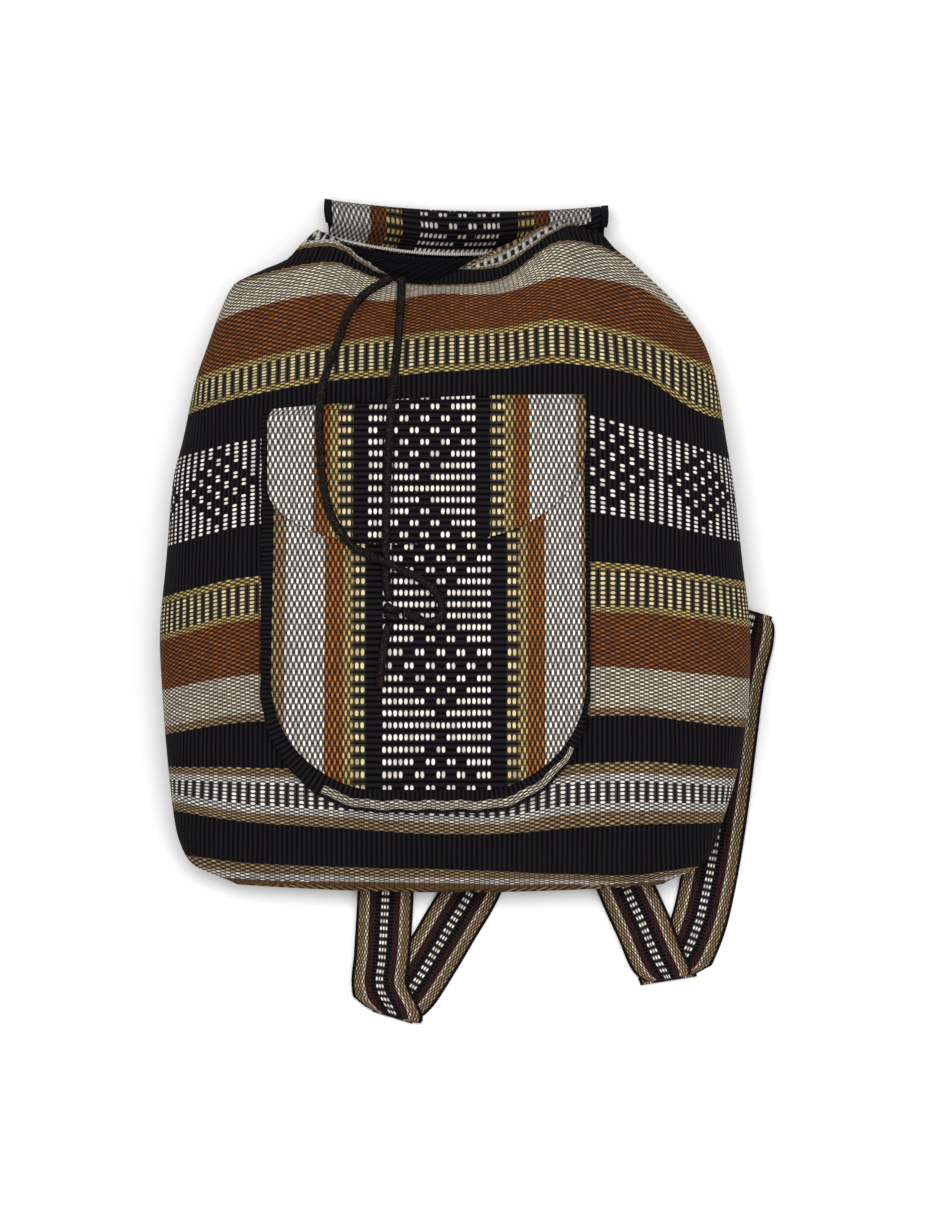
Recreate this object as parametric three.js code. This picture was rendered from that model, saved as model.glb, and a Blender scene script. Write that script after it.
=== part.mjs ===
// Handwoven drawstring backpack, lying on its back with its straps spread flat.
// Millimetres. +Z is up and away from the floor, +Y runs from the bottom seam to the mouth.
import * as THREE from 'three';

// Body
const bodyWidth = 366;
const bodyLength = 408;
const bodyDepth = 118;
const bodyAxis = -7.5;
const bottomSeam = -175.5;
const clothWall = 2.2;
const frontSquareness = 2.35;
const backSquareness = 4;
const bottomBow = 5;
const mouthDipFront = 31;
const mouthDipBack = 13;
const mouthDipCentre = -0.3;
const mouthDipSpread = 0.52;
const mouthDipStart = 0.75;
const foldDepth = 6;
const dentDepth = 5;

// Clearances between cloth layers
const layerGap = 0.3;
const frontGap = 0.65;

// Straps
const strapWidth = 35;
const strapThickness = 1.8;
const foldCornerLength = 22;
const foldCornerDepth = 5.5;

// Top flap and its edging
const flapAxis = -1.7;
const flapWidth = 167.2;
const flapTuck = 186;
const flapThickness = 1.8;
const flapRise = 19;
const flapSag = 4.2;
const flapTilt = 3.4;
const flapEndRadius = 52;
const bindingWidth = 4.5;
const bindingThickness = 2.4;

// Pocket
const pocketWidth = 187;
const pocketLength = 231;
const pocketBottom = 64;
const pocketAxis = -24;
const pocketCorner = 62;
const pocketStandTop = 5.5;
const pocketStandBottom = 17;
const pocketThickness = 1.8;
const gussetSpread = 8;
const gussetThickness = 1.6;
const pocketFlapAxis = -25;
const pocketFlapWidth = 190;
const pocketFlapLength = 89;
const pocketFlapLeft = 50;
const pocketFlapRight = 33;
const pocketFlapSeam = 12;
const pocketFlapLift = 8.4;
const gussetSeamInset = 5;

// Drawcord
const cordDiameter = 5;
const cordSides = 10;
const knotLength = 13;
const knotDiameter = 11;
const knotRings = 8;
const knotSides = 12;

// Mesh fineness
const bodyColumns = 48;
const bodyRowStep = 0.055;
const strapRowStep = 24;
const foldSteps = 5;
const flapColumns = 11;
const pocketColumns = 13;
const pocketCornerSteps = 6;
const gussetFootColumns = 9;
const surfaceStep = 1;

// The lowest cloth of the body clears three layers of strap.
const strapLayer = strapThickness + layerGap;
const restHeight = 3 * strapLayer + layerGap;

// Body sections from the bottom seam to the mouth.
// along is a share of bodyLength, left and right of bodyWidth, and crown, side and back of bodyDepth.
const bodySections = [
  { along: 0, left: 0.373, right: 0.348, crown: 0.205, side: 0.185, back: 0.165 },
  { along: 0.035, left: 0.446, right: 0.414, crown: 0.4, side: 0.2, back: 0.06 },
  { along: 0.065, left: 0.465, right: 0.434, crown: 0.55, side: 0.23, back: 0.02 },
  { along: 0.096, left: 0.476, right: 0.446, crown: 0.66, side: 0.27, back: 0 },
  { along: 0.202, left: 0.49, right: 0.479, crown: 0.87, side: 0.32, back: 0 },
  { along: 0.309, left: 0.499, right: 0.495, crown: 0.96, side: 0.34, back: 0 },
  { along: 0.385, left: 0.503, right: 0.497, crown: 1, side: 0.34, back: 0 },
  { along: 0.506, left: 0.492, right: 0.483, crown: 1, side: 0.34, back: 0 },
  { along: 0.628, left: 0.48, right: 0.467, crown: 0.98, side: 0.34, back: 0 },
  { along: 0.688, left: 0.464, right: 0.456, crown: 0.96, side: 0.33, back: 0 },
  { along: 0.78, left: 0.442, right: 0.439, crown: 0.9, side: 0.32, back: 0 },
  { along: 0.825, left: 0.425, right: 0.424, crown: 0.85, side: 0.31, back: 0 },
  { along: 0.886, left: 0.4, right: 0.382, crown: 0.75, side: 0.3, back: 0 },
  { along: 0.924, left: 0.378, right: 0.339, crown: 0.67, side: 0.29, back: 0 },
  { along: 0.944, left: 0.33, right: 0.314, crown: 0.63, side: 0.28, back: 0.01 },
  { along: 0.959, left: 0.286, right: 0.293, crown: 0.59, side: 0.28, back: 0.02 },
  { along: 0.977, left: 0.262, right: 0.262, crown: 0.53, side: 0.27, back: 0.05 },
  { along: 1, left: 0.236, right: 0.242, crown: 0.46, side: 0.27, back: 0.08 },
];
const innerStart = bodySections[1].along;

// Gathers that run down the front from the mouth.
// across and spread are shares of the half width, rise of foldDepth, and reach of bodyLength.
const mouthFolds = [
  { across: -0.82, spread: 0.09, rise: 0.7, reach: 0.16 },
  { across: -0.6, spread: 0.08, rise: -0.8, reach: 0.2 },
  { across: -0.42, spread: 0.08, rise: 0.6, reach: 0.14 },
  { across: -0.2, spread: 0.1, rise: -1, reach: 0.22 },
  { across: 0.08, spread: 0.09, rise: 0.9, reach: 0.16 },
  { across: 0.3, spread: 0.09, rise: -1, reach: 0.26 },
  { across: 0.55, spread: 0.11, rise: 1.4, reach: 0.24 },
  { across: 0.82, spread: 0.08, rise: -0.7, reach: 0.16 },
];

// Soft dents and swells of the stuffed front. along and length are shares of bodyLength, across and width
// of the half width, and rise of dentDepth.
const frontDents = [
  { along: 0.13, across: -0.74, length: 0.09, width: 0.2, rise: -0.8 },
  { along: 0.08, across: -0.1, length: 0.05, width: 0.4, rise: -0.5 },
  { along: 0.11, across: 0.55, length: 0.06, width: 0.2, rise: 0.6 },
  { along: 0.32, across: 0.8, length: 0.1, width: 0.16, rise: -0.6 },
  { along: 0.45, across: -0.82, length: 0.1, width: 0.14, rise: 0.6 },
  { along: 0.62, across: 0.82, length: 0.1, width: 0.14, rise: 0.6 },
  { along: 0.66, across: -0.84, length: 0.08, width: 0.14, rise: -0.6 },
  { along: 0.83, across: -0.7, length: 0.07, width: 0.2, rise: -0.8 },
  { along: 0.85, across: 0.72, length: 0.06, width: 0.2, rise: -0.7 },
];

// Profile of the top flap from the mouth's back edge, over its crest and under the back.
// beyond is a share of flapRise, height of restHeight, width of flapWidth, and leave says how far it has
// left the curve of the mouth's edge.
const flapCrest = [
  { beyond: 0.1, height: 3.2, width: 0.97, leave: 0.2 },
  { beyond: 0.45, height: 4.4, width: 0.99, leave: 0.6 },
  { beyond: 0.8, height: 4.6, width: 1, leave: 0.9 },
  { beyond: 1.04, height: 3.9, width: 1, leave: 1 },
  { beyond: 1.15, height: 2.7, width: 1, leave: 1 },
  { beyond: 1.1, height: 1.4, width: 1, leave: 1 },
  { beyond: 0.88, height: 0.45, width: 0.99, leave: 1 },
  { beyond: 0.55, height: 0.12, width: 0.98, leave: 1 },
];
const flapTuckRows = [0, 0.3, 0.55, 0.72];
const flapEndRows = [0, 0.3, 0.55, 0.75, 0.9, 1];

// Share of the mouth's back edge that the flap is sewn to, its width under the back and the reach of its
// rounded end, and how soon the crest takes its own width and height.
const flapShape = { seam: 0.94, tuckWidth: 0.97, endReach: 0.97, widthLead: 1.6, heightLead: 1.4 };

// Pocket rows as shares of pocketLength above its rounded foot, and pocket flap rows from its seam as
// shares of its length.
const pocketRows = [1, 0.85, 0.7, 0.55, 0.4, 0.3];
const pocketFlapRows = [0, 0.06, 0.12, 0.19, 0.3, 0.45, 0.6, 0.75, 0.88, 1];

// Exponents of the pocket flap's rounded lower edge.
const pocketFlapRound = { across: 2.6, down: 0.6 };

// Profile of the pocket's side band. out is a share of gussetSpread and rise of its height.
const gussetProfile = [
  { out: 0, rise: 1 },
  { out: 0.75, rise: 0.55 },
  { out: 1, rise: 0 },
];
const gussetSeat = 0.75;

// Least turn of a strap's rows away from square, and room in a flat fold as a share of a strap layer.
const strapSquareness = 0.75;
const foldRoom = 1.1;

// Rows beside a fold, as shares of foldCornerLength.
const foldCornerRows = [0.08, 0.25, 0.55, 1];

// Strap routes. across is a share of bodyWidth from bodyAxis, along a share of bodyLength from the bottom
// seam, and layer counts the strap layers beneath. fold is the direction of a flat fold's edge in degrees.
const leftStrapRoute = [
  { across: -0.063, along: 0.901, sewn: true },
  { across: -0.043, along: 0.72, layer: 1.45 },
  { across: 0.001, along: 0.52, layer: 1.45 },
  { across: 0.026, along: 0.42, layer: 0.2 },
  { across: 0.048, along: 0.3, layer: 0 },
  { across: 0.06, along: 0.14, layer: 0 },
  { across: 0.037, along: 0.027, layer: 0 },
  { across: -0.0155, along: -0.059, layer: 0 },
  { across: -0.069, along: -0.138, layer: 0 },
  { across: -0.109, along: -0.189, layer: 0, fold: -17 },
  { across: -0.131, along: -0.145, layer: 1.1 },
  { across: -0.128, along: -0.1, layer: 1.1 },
  { across: -0.1225, along: -0.017, layer: 1.5 },
  { across: -0.12, along: 0.036, sewn: true },
];
const rightStrapRoute = [
  { across: 0.055, along: 0.901, sewn: true },
  { across: 0.166, along: 0.71, layer: 1.45 },
  { across: 0.276, along: 0.52, layer: 1.45 },
  { across: 0.346, along: 0.41, layer: 0.3 },
  { across: 0.43, along: 0.286, layer: 0, fold: 4 },
  { across: 0.466, along: 0.354, layer: 1.1 },
  { across: 0.504, along: 0.424, layer: 1.1, fold: -17 },
  { across: 0.4925, along: 0.384, layer: 2.2 },
  { across: 0.477, along: 0.325, layer: 2.2 },
  { across: 0.4635, along: 0.233, layer: 2.2 },
  { across: 0.4445, along: 0.1, layer: 0.9 },
  { across: 0.4265, along: 0.006, layer: 0 },
  { across: 0.4115, along: -0.05, layer: 0 },
  { across: 0.3895, along: -0.096, layer: 0 },
  { across: 0.36, along: -0.1325, layer: 0, fold: 9 },
  { across: 0.341, along: -0.104, layer: 1.1 },
  { across: 0.32, along: -0.058, layer: 1.1 },
  { across: 0.295, along: -0.009, layer: 1.5 },
  { across: 0.275, along: 0.034, layer: 4.2 },
];

// Cord routes, from the mouth to the knot.
const leftCordRoute = [
  [-48, 205, 66.8],
  [-54.5, 201.5, 70.6],
  [-66.3, 194.7, 76.4],
  [-80, 182.9, 86.6],
  [-86.5, 168, 97.8],
  [-89.6, 150, 109.5],
  [-91, 134, 119.4],
  [-91.4, 118, 126],
  [-90.8, 98, 129.4],
  [-89.3, 78, 132.8],
  [-83.1, 55.8, 136],
  [-71.9, 40, 137.8],
  [-62, 34, 140.5],
  [-51, 29.6, 145],
  [-40, 24, 142.8],
  [-30, 19, 141],
  [-21, 11.5, 141.6],
  [-16.7, 3, 142],
  [-18.4, -5, 142.4],
  [-26, -7, 142.4],
  [-34.5, -3.2, 142],
  [-41, -1.6, 142],
];
const rightCordRoute = [
  [-41.5, 205.5, 66.6],
  [-41.8, 197, 71.2],
  [-42.6, 180, 87.6],
  [-43.8, 163, 103.2],
  [-45.6, 146, 115.2],
  [-47.2, 131, 124.9],
  [-48.2, 116, 131.3],
  [-49, 99.2, 134.4],
  [-50, 78, 137],
  [-50.5, 58, 138.8],
  [-50.8, 42, 139],
  [-50.8, 29.6, 139.2],
  [-50.2, 17, 140],
  [-48.8, 6, 141.4],
];
const tailCordRoute = [
  [-48.6, -8.2, 141.8],
  [-51.2, -18.6, 142],
  [-53.3, -34.1, 141],
  [-54.6, -47.7, 139.6],
];
const knotPlace = [-47, -1.2, 143];

const smooth = (share) => {
  const held = Math.min(Math.max(share, 0), 1);
  return held * held * (3 - 2 * held);
};
const mix = (from, to, share) => from + (to - from) * share;

// Slope of a column at a row, level at each high and low so that a curve through the rows never overshoots.
function slopeAt(table, column, index) {
  const rise = (i) => (table[i + 1][column] - table[i][column]) / (table[i + 1].along - table[i].along);
  const before = rise(Math.max(index - 1, 0));
  const after = rise(Math.min(index, table.length - 2));
  return before * after > 0 ? (2 * before * after) / (before + after) : 0;
}

// Value of one column of a table at a share of its length, with a smooth curve through the rows.
function sample(table, column, along) {
  const last = table.length - 2;
  const found = table.findIndex((row) => row.along > along);
  const index = found < 0 ? last : Math.min(Math.max(found - 1, 0), last);
  const a = table[index];
  const b = table[index + 1];
  const span = b.along - a.along;
  const share = Math.min(Math.max((along - a.along) / span, 0), 1);
  const square = share * share;
  const cube = square * share;
  return (
    a[column] * (2 * cube - 3 * square + 1) +
    slopeAt(table, column, index) * span * (cube - 2 * square + share) +
    b[column] * (3 * square - 2 * cube) +
    slopeAt(table, column, index + 1) * span * (cube - square)
  );
}

// Solid from points and triangles, turned so that its faces point out.
function solidFrom(points, faces) {
  const place = points.flatMap((point) => [point.x, point.y, point.z]);
  let volume = 0;
  for (const [a, b, c] of faces) {
    volume += points[a].dot(new THREE.Vector3().crossVectors(points[b], points[c]));
  }
  const turned = volume < 0 ? faces.map(([a, b, c]) => [a, c, b]) : faces;
  const geometry = new THREE.BufferGeometry();
  geometry.setAttribute('position', new THREE.Float32BufferAttribute(place, 3));
  geometry.setIndex(turned.flat());
  geometry.computeVertexNormals();
  return geometry;
}

const quad = (a, b, c, d) => [[a, b, c], [a, c, d]];

// Unit normals of a grid of points, whose rows may be closed loops.
function gridNormals(grid, closed) {
  const columns = grid[0].length;
  return grid.map((row, r) =>
    row.map((point, c) => {
      const up = grid[Math.min(r + 1, grid.length - 1)][c];
      const down = grid[Math.max(r - 1, 0)][c];
      const nextColumn = closed ? (c + 1) % columns : Math.min(c + 1, columns - 1);
      const lastColumn = closed ? (c + columns - 1) % columns : Math.max(c - 1, 0);
      const across = new THREE.Vector3().subVectors(row[nextColumn], row[lastColumn]);
      const along = new THREE.Vector3().subVectors(up, down);
      return across.cross(along).normalize();
    }),
  );
}

// Cloth of even thickness, half to each side of a grid of points.
function clothSheet(grid, thickness) {
  const normals = gridNormals(grid, false);
  const rows = grid.length;
  const columns = grid[0].length;
  const points = [];
  for (const side of [0.5, -0.5]) {
    for (let r = 0; r < rows; r += 1) {
      for (let c = 0; c < columns; c += 1) {
        points.push(grid[r][c].clone().addScaledVector(normals[r][c], side * thickness));
      }
    }
  }
  const top = (r, c) => r * columns + c;
  const under = (r, c) => rows * columns + r * columns + c;
  const faces = [];
  for (let r = 0; r + 1 < rows; r += 1) {
    for (let c = 0; c + 1 < columns; c += 1) {
      faces.push(...quad(top(r, c), top(r, c + 1), top(r + 1, c + 1), top(r + 1, c)));
      faces.push(...quad(under(r, c), under(r + 1, c), under(r + 1, c + 1), under(r, c + 1)));
    }
    faces.push(...quad(top(r, 0), top(r + 1, 0), under(r + 1, 0), under(r, 0)));
    const edge = columns - 1;
    faces.push(...quad(top(r, edge), under(r, edge), under(r + 1, edge), top(r + 1, edge)));
  }
  const end = rows - 1;
  for (let c = 0; c + 1 < columns; c += 1) {
    faces.push(...quad(top(0, c), under(0, c), under(0, c + 1), top(0, c + 1)));
    faces.push(...quad(top(end, c), top(end, c + 1), under(end, c + 1), under(end, c)));
  }
  return solidFrom(points, faces);
}

// Point of the body's outer surface. around runs from the right side over the front to the left side and
// back under the bag.
function bodyPoint(along, around) {
  const cosine = Math.cos(around);
  const sine = Math.sin(around);
  const front = sine >= 0;
  const power = 2 / (front ? frontSquareness : backSquareness);
  const across = Math.sign(cosine) * Math.abs(cosine) ** power;
  const rise = Math.abs(sine) ** power;
  const halfWidth = bodyWidth * sample(bodySections, cosine >= 0 ? 'right' : 'left', along);
  const side = restHeight + bodyDepth * sample(bodySections, 'side', along);
  const face = restHeight + bodyDepth * sample(bodySections, front ? 'crown' : 'back', along);
  const gathered = smooth((along - mouthDipStart) / (1 - mouthDipStart));
  const dipShape = Math.exp(-(((across - mouthDipCentre) / mouthDipSpread) ** 2));
  const dip = front ? mouthDipFront * dipShape * rise : mouthDipBack * (1 - across ** 2);
  const bow = bottomBow * across ** 2 * (1 - smooth(along / innerStart / 2));
  return new THREE.Vector3(
    bodyAxis + across * halfWidth,
    bottomSeam + along * bodyLength - dip * gathered + bow,
    side + (face - side) * rise + (front ? reliefHeight(along, across) * rise : 0),
  );
}

// Height that the gathers and dents add to the front.
function reliefHeight(along, across) {
  const gathers = mouthFolds.reduce((height, fold) => {
    const near = Math.exp(-(((across - fold.across) / fold.spread) ** 2));
    return height + foldDepth * fold.rise * near * smooth((along - 1 + fold.reach) / fold.reach);
  }, 0);
  return frontDents.reduce((height, dent) => {
    const distance = ((along - dent.along) / dent.length) ** 2 + ((across - dent.across) / dent.width) ** 2;
    return height + dentDepth * dent.rise * Math.exp(-distance);
  }, gathers);
}

// Height of the body's front or back at a place below the mouth's dip.
function bodyHeight(x, y, column, squareness) {
  const along = (y - bottomSeam) / bodyLength;
  const halfWidth = bodyWidth * sample(bodySections, x >= bodyAxis ? 'right' : 'left', along);
  const across = Math.min(Math.max((x - bodyAxis) / halfWidth, -1), 1);
  const rise = (1 - Math.abs(across) ** squareness) ** (1 / squareness);
  const side = restHeight + bodyDepth * sample(bodySections, 'side', along);
  const face = restHeight + bodyDepth * sample(bodySections, column, along);
  const relief = column === 'crown' ? reliefHeight(along, across) * rise : 0;
  return side + (face - side) * rise + relief;
}
const frontHeight = (x, y) => bodyHeight(x, y, 'crown', frontSquareness);
const backHeight = (x, y) => bodyHeight(x, y, 'back', backSquareness);

// Point that stands off the body's front, square to it.
function overFront(x, y, stand) {
  const z = frontHeight(x, y);
  const fallX = z - frontHeight(x + surfaceStep, y);
  const fallY = z - frontHeight(x, y + surfaceStep);
  const square = new THREE.Vector3(fallX, fallY, surfaceStep).normalize();
  return new THREE.Vector3(x, y, z).addScaledVector(square, stand);
}

function bodyRows() {
  const rows = [0];
  for (let i = 0; i + 1 < bodySections.length; i += 1) {
    const from = bodySections[i].along;
    const to = bodySections[i + 1].along;
    const steps = Math.ceil((to - from) / bodyRowStep);
    for (let step = 1; step <= steps; step += 1) {
      rows.push(mix(from, to, step / steps));
    }
  }
  return rows;
}

// Hollow sack: the outer surface, the inner surface one wall inside it, the mouth's edge that joins
// them, and the two closed bottoms.
function bodyShell() {
  const rows = bodyRows();
  const outer = rows.map((along) =>
    Array.from({ length: bodyColumns }, (_, c) => bodyPoint(along, (2 * Math.PI * c) / bodyColumns)),
  );
  const inward = gridNormals(outer, true);
  const firstInner = rows.indexOf(innerStart);
  const inner = outer
    .map((row, r) => row.map((point, c) => point.clone().addScaledVector(inward[r][c], clothWall)))
    .slice(firstInner);
  const points = [...outer, ...inner].flat();
  const faces = [];
  const ring = (r, c) => r * bodyColumns + (c % bodyColumns);
  for (let r = 0; r + 1 < outer.length; r += 1) {
    for (let c = 0; c < bodyColumns; c += 1) {
      faces.push(...quad(ring(r, c), ring(r, c + 1), ring(r + 1, c + 1), ring(r + 1, c)));
    }
  }
  for (let r = outer.length; r + 1 < outer.length + inner.length; r += 1) {
    for (let c = 0; c < bodyColumns; c += 1) {
      faces.push(...quad(ring(r, c), ring(r + 1, c), ring(r + 1, c + 1), ring(r, c + 1)));
    }
  }
  const outerMouth = outer.length - 1;
  const innerMouth = outer.length + inner.length - 1;
  for (let c = 0; c < bodyColumns; c += 1) {
    const join = [ring(outerMouth, c), ring(outerMouth, c + 1), ring(innerMouth, c + 1), ring(innerMouth, c)];
    faces.push(...quad(...join));
  }
  closeBottom(faces, 0, false);
  closeBottom(faces, outer.length, true);
  return solidFrom(points, faces);
}

// Joins the front half of a row to its back half across the bottom.
function closeBottom(faces, row, inside) {
  const at = (c) => row * bodyColumns + (c % bodyColumns);
  for (let c = 0; c < bodyColumns / 2; c += 1) {
    const far = bodyColumns - c;
    const corners = [at(c), at(far), at(far - 1), at(c + 1)];
    const pair = quad(...(inside ? corners.reverse() : corners));
    faces.push(...pair.filter((face) => new Set(face).size === 3));
  }
}

const evenShares = (count) => Array.from({ length: count }, (_, i) => (2 * i) / (count - 1) - 1);

// Top flap: from the mouth's back edge, over the crest and flat under the back to its rounded end.
function flapGrid() {
  const columns = evenShares(flapColumns);
  const mouthEdge = (share) => {
    const across = share * flapShape.seam;
    const angle = Math.acos(Math.sign(across) * Math.abs(across) ** (backSquareness / 2));
    return bodyPoint(1, 2 * Math.PI - angle);
  };
  const wallMiddle = clothWall / 2;
  const seam = columns.map((share) => {
    const edge = mouthEdge(share);
    return new THREE.Vector3(edge.x, edge.y + layerGap + flapThickness / 2, edge.z + wallMiddle);
  });
  const mouthSide = bottomSeam + bodyLength;
  const crest = flapCrest.map((row) =>
    columns.map((share, c) => {
      const free = flapAxis + (flapWidth / 2) * row.width * share;
      const sag = flapSag * (1 - share ** 2) + (flapTilt * (1 + share)) / 2;
      const x = mix(seam[c].x, free, smooth(row.leave * flapShape.widthLead));
      const y = mix(seam[c].y, mouthSide, row.leave) + (flapRise - sag) * row.beyond;
      const crestHeight = flapThickness / 2 + row.height * restHeight;
      const z = mix(seam[c].z, crestHeight, smooth(row.leave * flapShape.heightLead));
      return new THREE.Vector3(x, y, z);
    }),
  );
  const tuckStraight = flapTuck - flapEndRadius;
  const tuck = flapTuckRows.map((share) =>
    columns.map((column) => flapFloorPoint(column, 1, mouthSide - share * tuckStraight)),
  );
  const end = flapEndRows.map((share) => {
    const rounding = 1 - Math.sqrt(1 - (share * flapShape.endReach) ** 2);
    const width = 1 - (rounding * 2 * flapEndRadius) / flapWidth;
    return columns.map((column) =>
      flapFloorPoint(column, width, mouthSide - tuckStraight - share * flapEndRadius),
    );
  });
  return [seam, ...crest, ...tuck, ...end];
}

function flapFloorPoint(column, width, y) {
  return new THREE.Vector3(
    flapAxis + (flapWidth / 2) * flapShape.tuckWidth * width * column,
    y,
    bindingThickness / 2,
  );
}

// Edging: a thicker band along the open edge of a sheet, standing one gap outside it.
function edgeBand(grid, startRow, width, thickness) {
  const normals = gridNormals(grid, false);
  const last = grid[0].length - 1;
  const end = grid.length - 1;
  const path = [];
  for (let r = startRow; r < end; r += 1) {
    path.push([r, 0]);
  }
  for (let c = 0; c <= last; c += 1) {
    path.push([end, c]);
  }
  for (let r = end - 1; r >= startRow; r -= 1) {
    path.push([r, last]);
  }
  const edge = path.map(([r, c]) => grid[r][c]);
  const band = edge.map((point, i) => {
    const before = edge[Math.max(i - 1, 0)];
    const after = edge[Math.min(i + 1, edge.length - 1)];
    const tangent = new THREE.Vector3().subVectors(after, before);
    const [r, c] = path[i];
    const outward = tangent.cross(normals[r][c]).negate().normalize();
    return [layerGap, layerGap + width].map((reach) => point.clone().addScaledVector(outward, reach));
  });
  return clothSheet(band, thickness);
}

// Strap: rows of edge-to-edge lines along a route, turned over at each flat fold.
function strapGrid(route) {
  const stations = route.map((row) => {
    const x = bodyAxis + row.across * bodyWidth;
    const y = bottomSeam + row.along * bodyLength;
    const z = row.sewn ? backHeight(x, y) - frontGap - strapThickness : row.layer * strapLayer;
    return { point: new THREE.Vector3(x, y, z + strapThickness / 2), fold: row.fold };
  });
  const runs = [];
  let start = 0;
  stations.forEach((station, i) => {
    const last = i === stations.length - 1;
    if (i > start && (station.fold !== undefined || last)) {
      runs.push({ stations: stations.slice(start, i + 1), from: stations[start].fold, to: station.fold });
      start = i;
    }
  });
  const rows = [];
  runs.forEach((run, index) => {
    const side = index % 2 ? -1 : 1;
    const turned = run.stations.map((station) => station.point.clone());
    if (index > 0) {
      turned[0].z = turned[1].z;
    }
    rows.push(...strapRun(new THREE.CatmullRomCurve3(turned, false, 'centripetal'), run, side));
  });
  return rows;
}

// Rows of one run between folds. Near a fold the rows turn to lie along the fold's edge.
function strapRun(curve, run, side) {
  const length = curve.getLength();
  const count = Math.max(Math.ceil(length / strapRowStep), 4);
  const turnLength = strapWidth;
  const even = Array.from({ length: count + 1 }, (_, i) => (i * length) / count);
  const corner = foldCornerRows.map((row) => row * foldCornerLength);
  const near = run.from === undefined ? [] : corner;
  const far = run.to === undefined ? [] : corner.map((row) => length - row);
  const inside = (place) =>
    (run.from === undefined || place === 0 || place > foldCornerLength) &&
    (run.to === undefined || place === length || place < length - foldCornerLength);
  const places = [...even.filter(inside), ...near, ...far].sort((a, b) => a - b);
  const rows = [];
  for (const place of places) {
    const share = place / length;
    const centre = curve.getPointAt(share);
    const tangent = curve.getTangentAt(share).setZ(0).normalize();
    const square = new THREE.Vector3(-tangent.y, tangent.x, 0).multiplyScalar(side);
    const ruling = square.clone();
    const ends = [
      { fold: run.from, distance: share * length },
      { fold: run.to, distance: (1 - share) * length },
    ];
    for (const { fold, distance } of ends) {
      if (fold !== undefined && distance < turnLength) {
        const angle = THREE.MathUtils.degToRad(fold);
        const edge = new THREE.Vector3(Math.cos(angle), Math.sin(angle), 0);
        edge.multiplyScalar(Math.sign(edge.dot(square)));
        ruling.lerpVectors(edge, square, smooth(distance / turnLength)).normalize();
      }
    }
    const folds = ends.filter(({ fold }) => fold !== undefined).map(({ distance }) => distance);
    const beside = Math.max(1 - Math.min(...folds) / foldCornerLength, 0);
    const rounded = foldCornerDepth * (1 - Math.sqrt(1 - beside ** 2));
    const half = strapWidth / 2 / Math.max(ruling.dot(square), strapSquareness) - rounded;
    rows.push([
      centre.clone().addScaledVector(ruling, -half),
      centre.clone().addScaledVector(ruling, half),
    ]);
  }
  if (run.to !== undefined) {
    rows.push(...foldRows(rows[rows.length - 1], curve.getTangentAt(1)));
  }
  return rows;
}

// Half turn of a flat fold, from one layer up to the next.
function foldRows([left, right], heading) {
  const edge = new THREE.Vector3().subVectors(right, left).setZ(0).normalize();
  const outward = new THREE.Vector3(-edge.y, edge.x, 0);
  outward.multiplyScalar(Math.sign(outward.dot(heading)));
  const radius = (foldRoom * strapLayer) / 2;
  return Array.from({ length: foldSteps - 1 }, (_, i) => {
    const angle = (Math.PI * (i + 1)) / foldSteps;
    const shift = outward.clone().multiplyScalar(radius * Math.sin(angle));
    shift.z = radius * (1 - Math.cos(angle));
    return [left.clone().add(shift), right.clone().add(shift)];
  });
}

// Pocket panel: follows the body's front at a distance that grows toward its bottom.
const pocketFoot = bottomSeam + pocketBottom;
const pocketHead = pocketFoot + pocketLength;
const pocketStand = (y) => {
  const share = smooth((pocketHead - y) / pocketLength);
  return mix(pocketStandTop, pocketStandBottom, share);
};

function pocketHalfWidth(y) {
  const above = Math.min(y - pocketFoot - pocketCorner, 0);
  return pocketWidth / 2 - pocketCorner + Math.sqrt(Math.max(pocketCorner ** 2 - above ** 2, 0));
}

function pocketHeights() {
  const straight = pocketRows.map((share) => pocketFoot + share * pocketLength);
  const corner = Array.from({ length: pocketCornerSteps + 1 }, (_, i) => {
    const angle = ((Math.PI / 2) * i) / pocketCornerSteps;
    return pocketFoot + pocketCorner * (1 - Math.sin(angle));
  });
  return [...straight, ...corner];
}

function pocketGrid() {
  return pocketHeights().map((y) =>
    evenShares(pocketColumns).map((share) => {
      const x = pocketAxis + pocketHalfWidth(y) * share;
      return overFront(x, y, pocketStand(y) + pocketThickness / 2);
    }),
  );
}

// Side band of the pocket: from under the panel's edge out and down to the body.
function gussetGrid() {
  const heights = pocketHeights();
  const left = heights.map((y) => [pocketAxis - pocketHalfWidth(y), y, -1]);
  const foot = evenShares(gussetFootColumns)
    .slice(1, -1)
    .map((share) => [pocketAxis + share * (pocketWidth / 2 - pocketCorner), pocketFoot, 0]);
  const right = heights.map((y) => [pocketAxis + pocketHalfWidth(y), y, 1]).reverse();
  const outline = [...left, ...foot, ...right];
  return outline.map(([x, y], i) => {
    const before = outline[Math.max(i - 1, 0)];
    const after = outline[Math.min(i + 1, outline.length - 1)];
    const along = new THREE.Vector3(after[0] - before[0], after[1] - before[1], 0).normalize();
    const outward = new THREE.Vector3(along.y, -along.x, 0);
    outward.multiplyScalar(Math.sign(outward.dot(new THREE.Vector3(x - pocketAxis, y - pocketHead, 0))));
    const head = pocketStand(y) - frontGap - gussetThickness / 2;
    const seat = frontGap + gussetThickness * gussetSeat;
    const profile = gussetProfile.map((row) => [row.out * gussetSpread, mix(seat, head, row.rise)]);
    return [[-gussetSeamInset, head], ...profile].map(([reach, stand]) =>
      overFront(x + outward.x * reach, y + outward.y * reach, stand),
    );
  });
}

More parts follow.
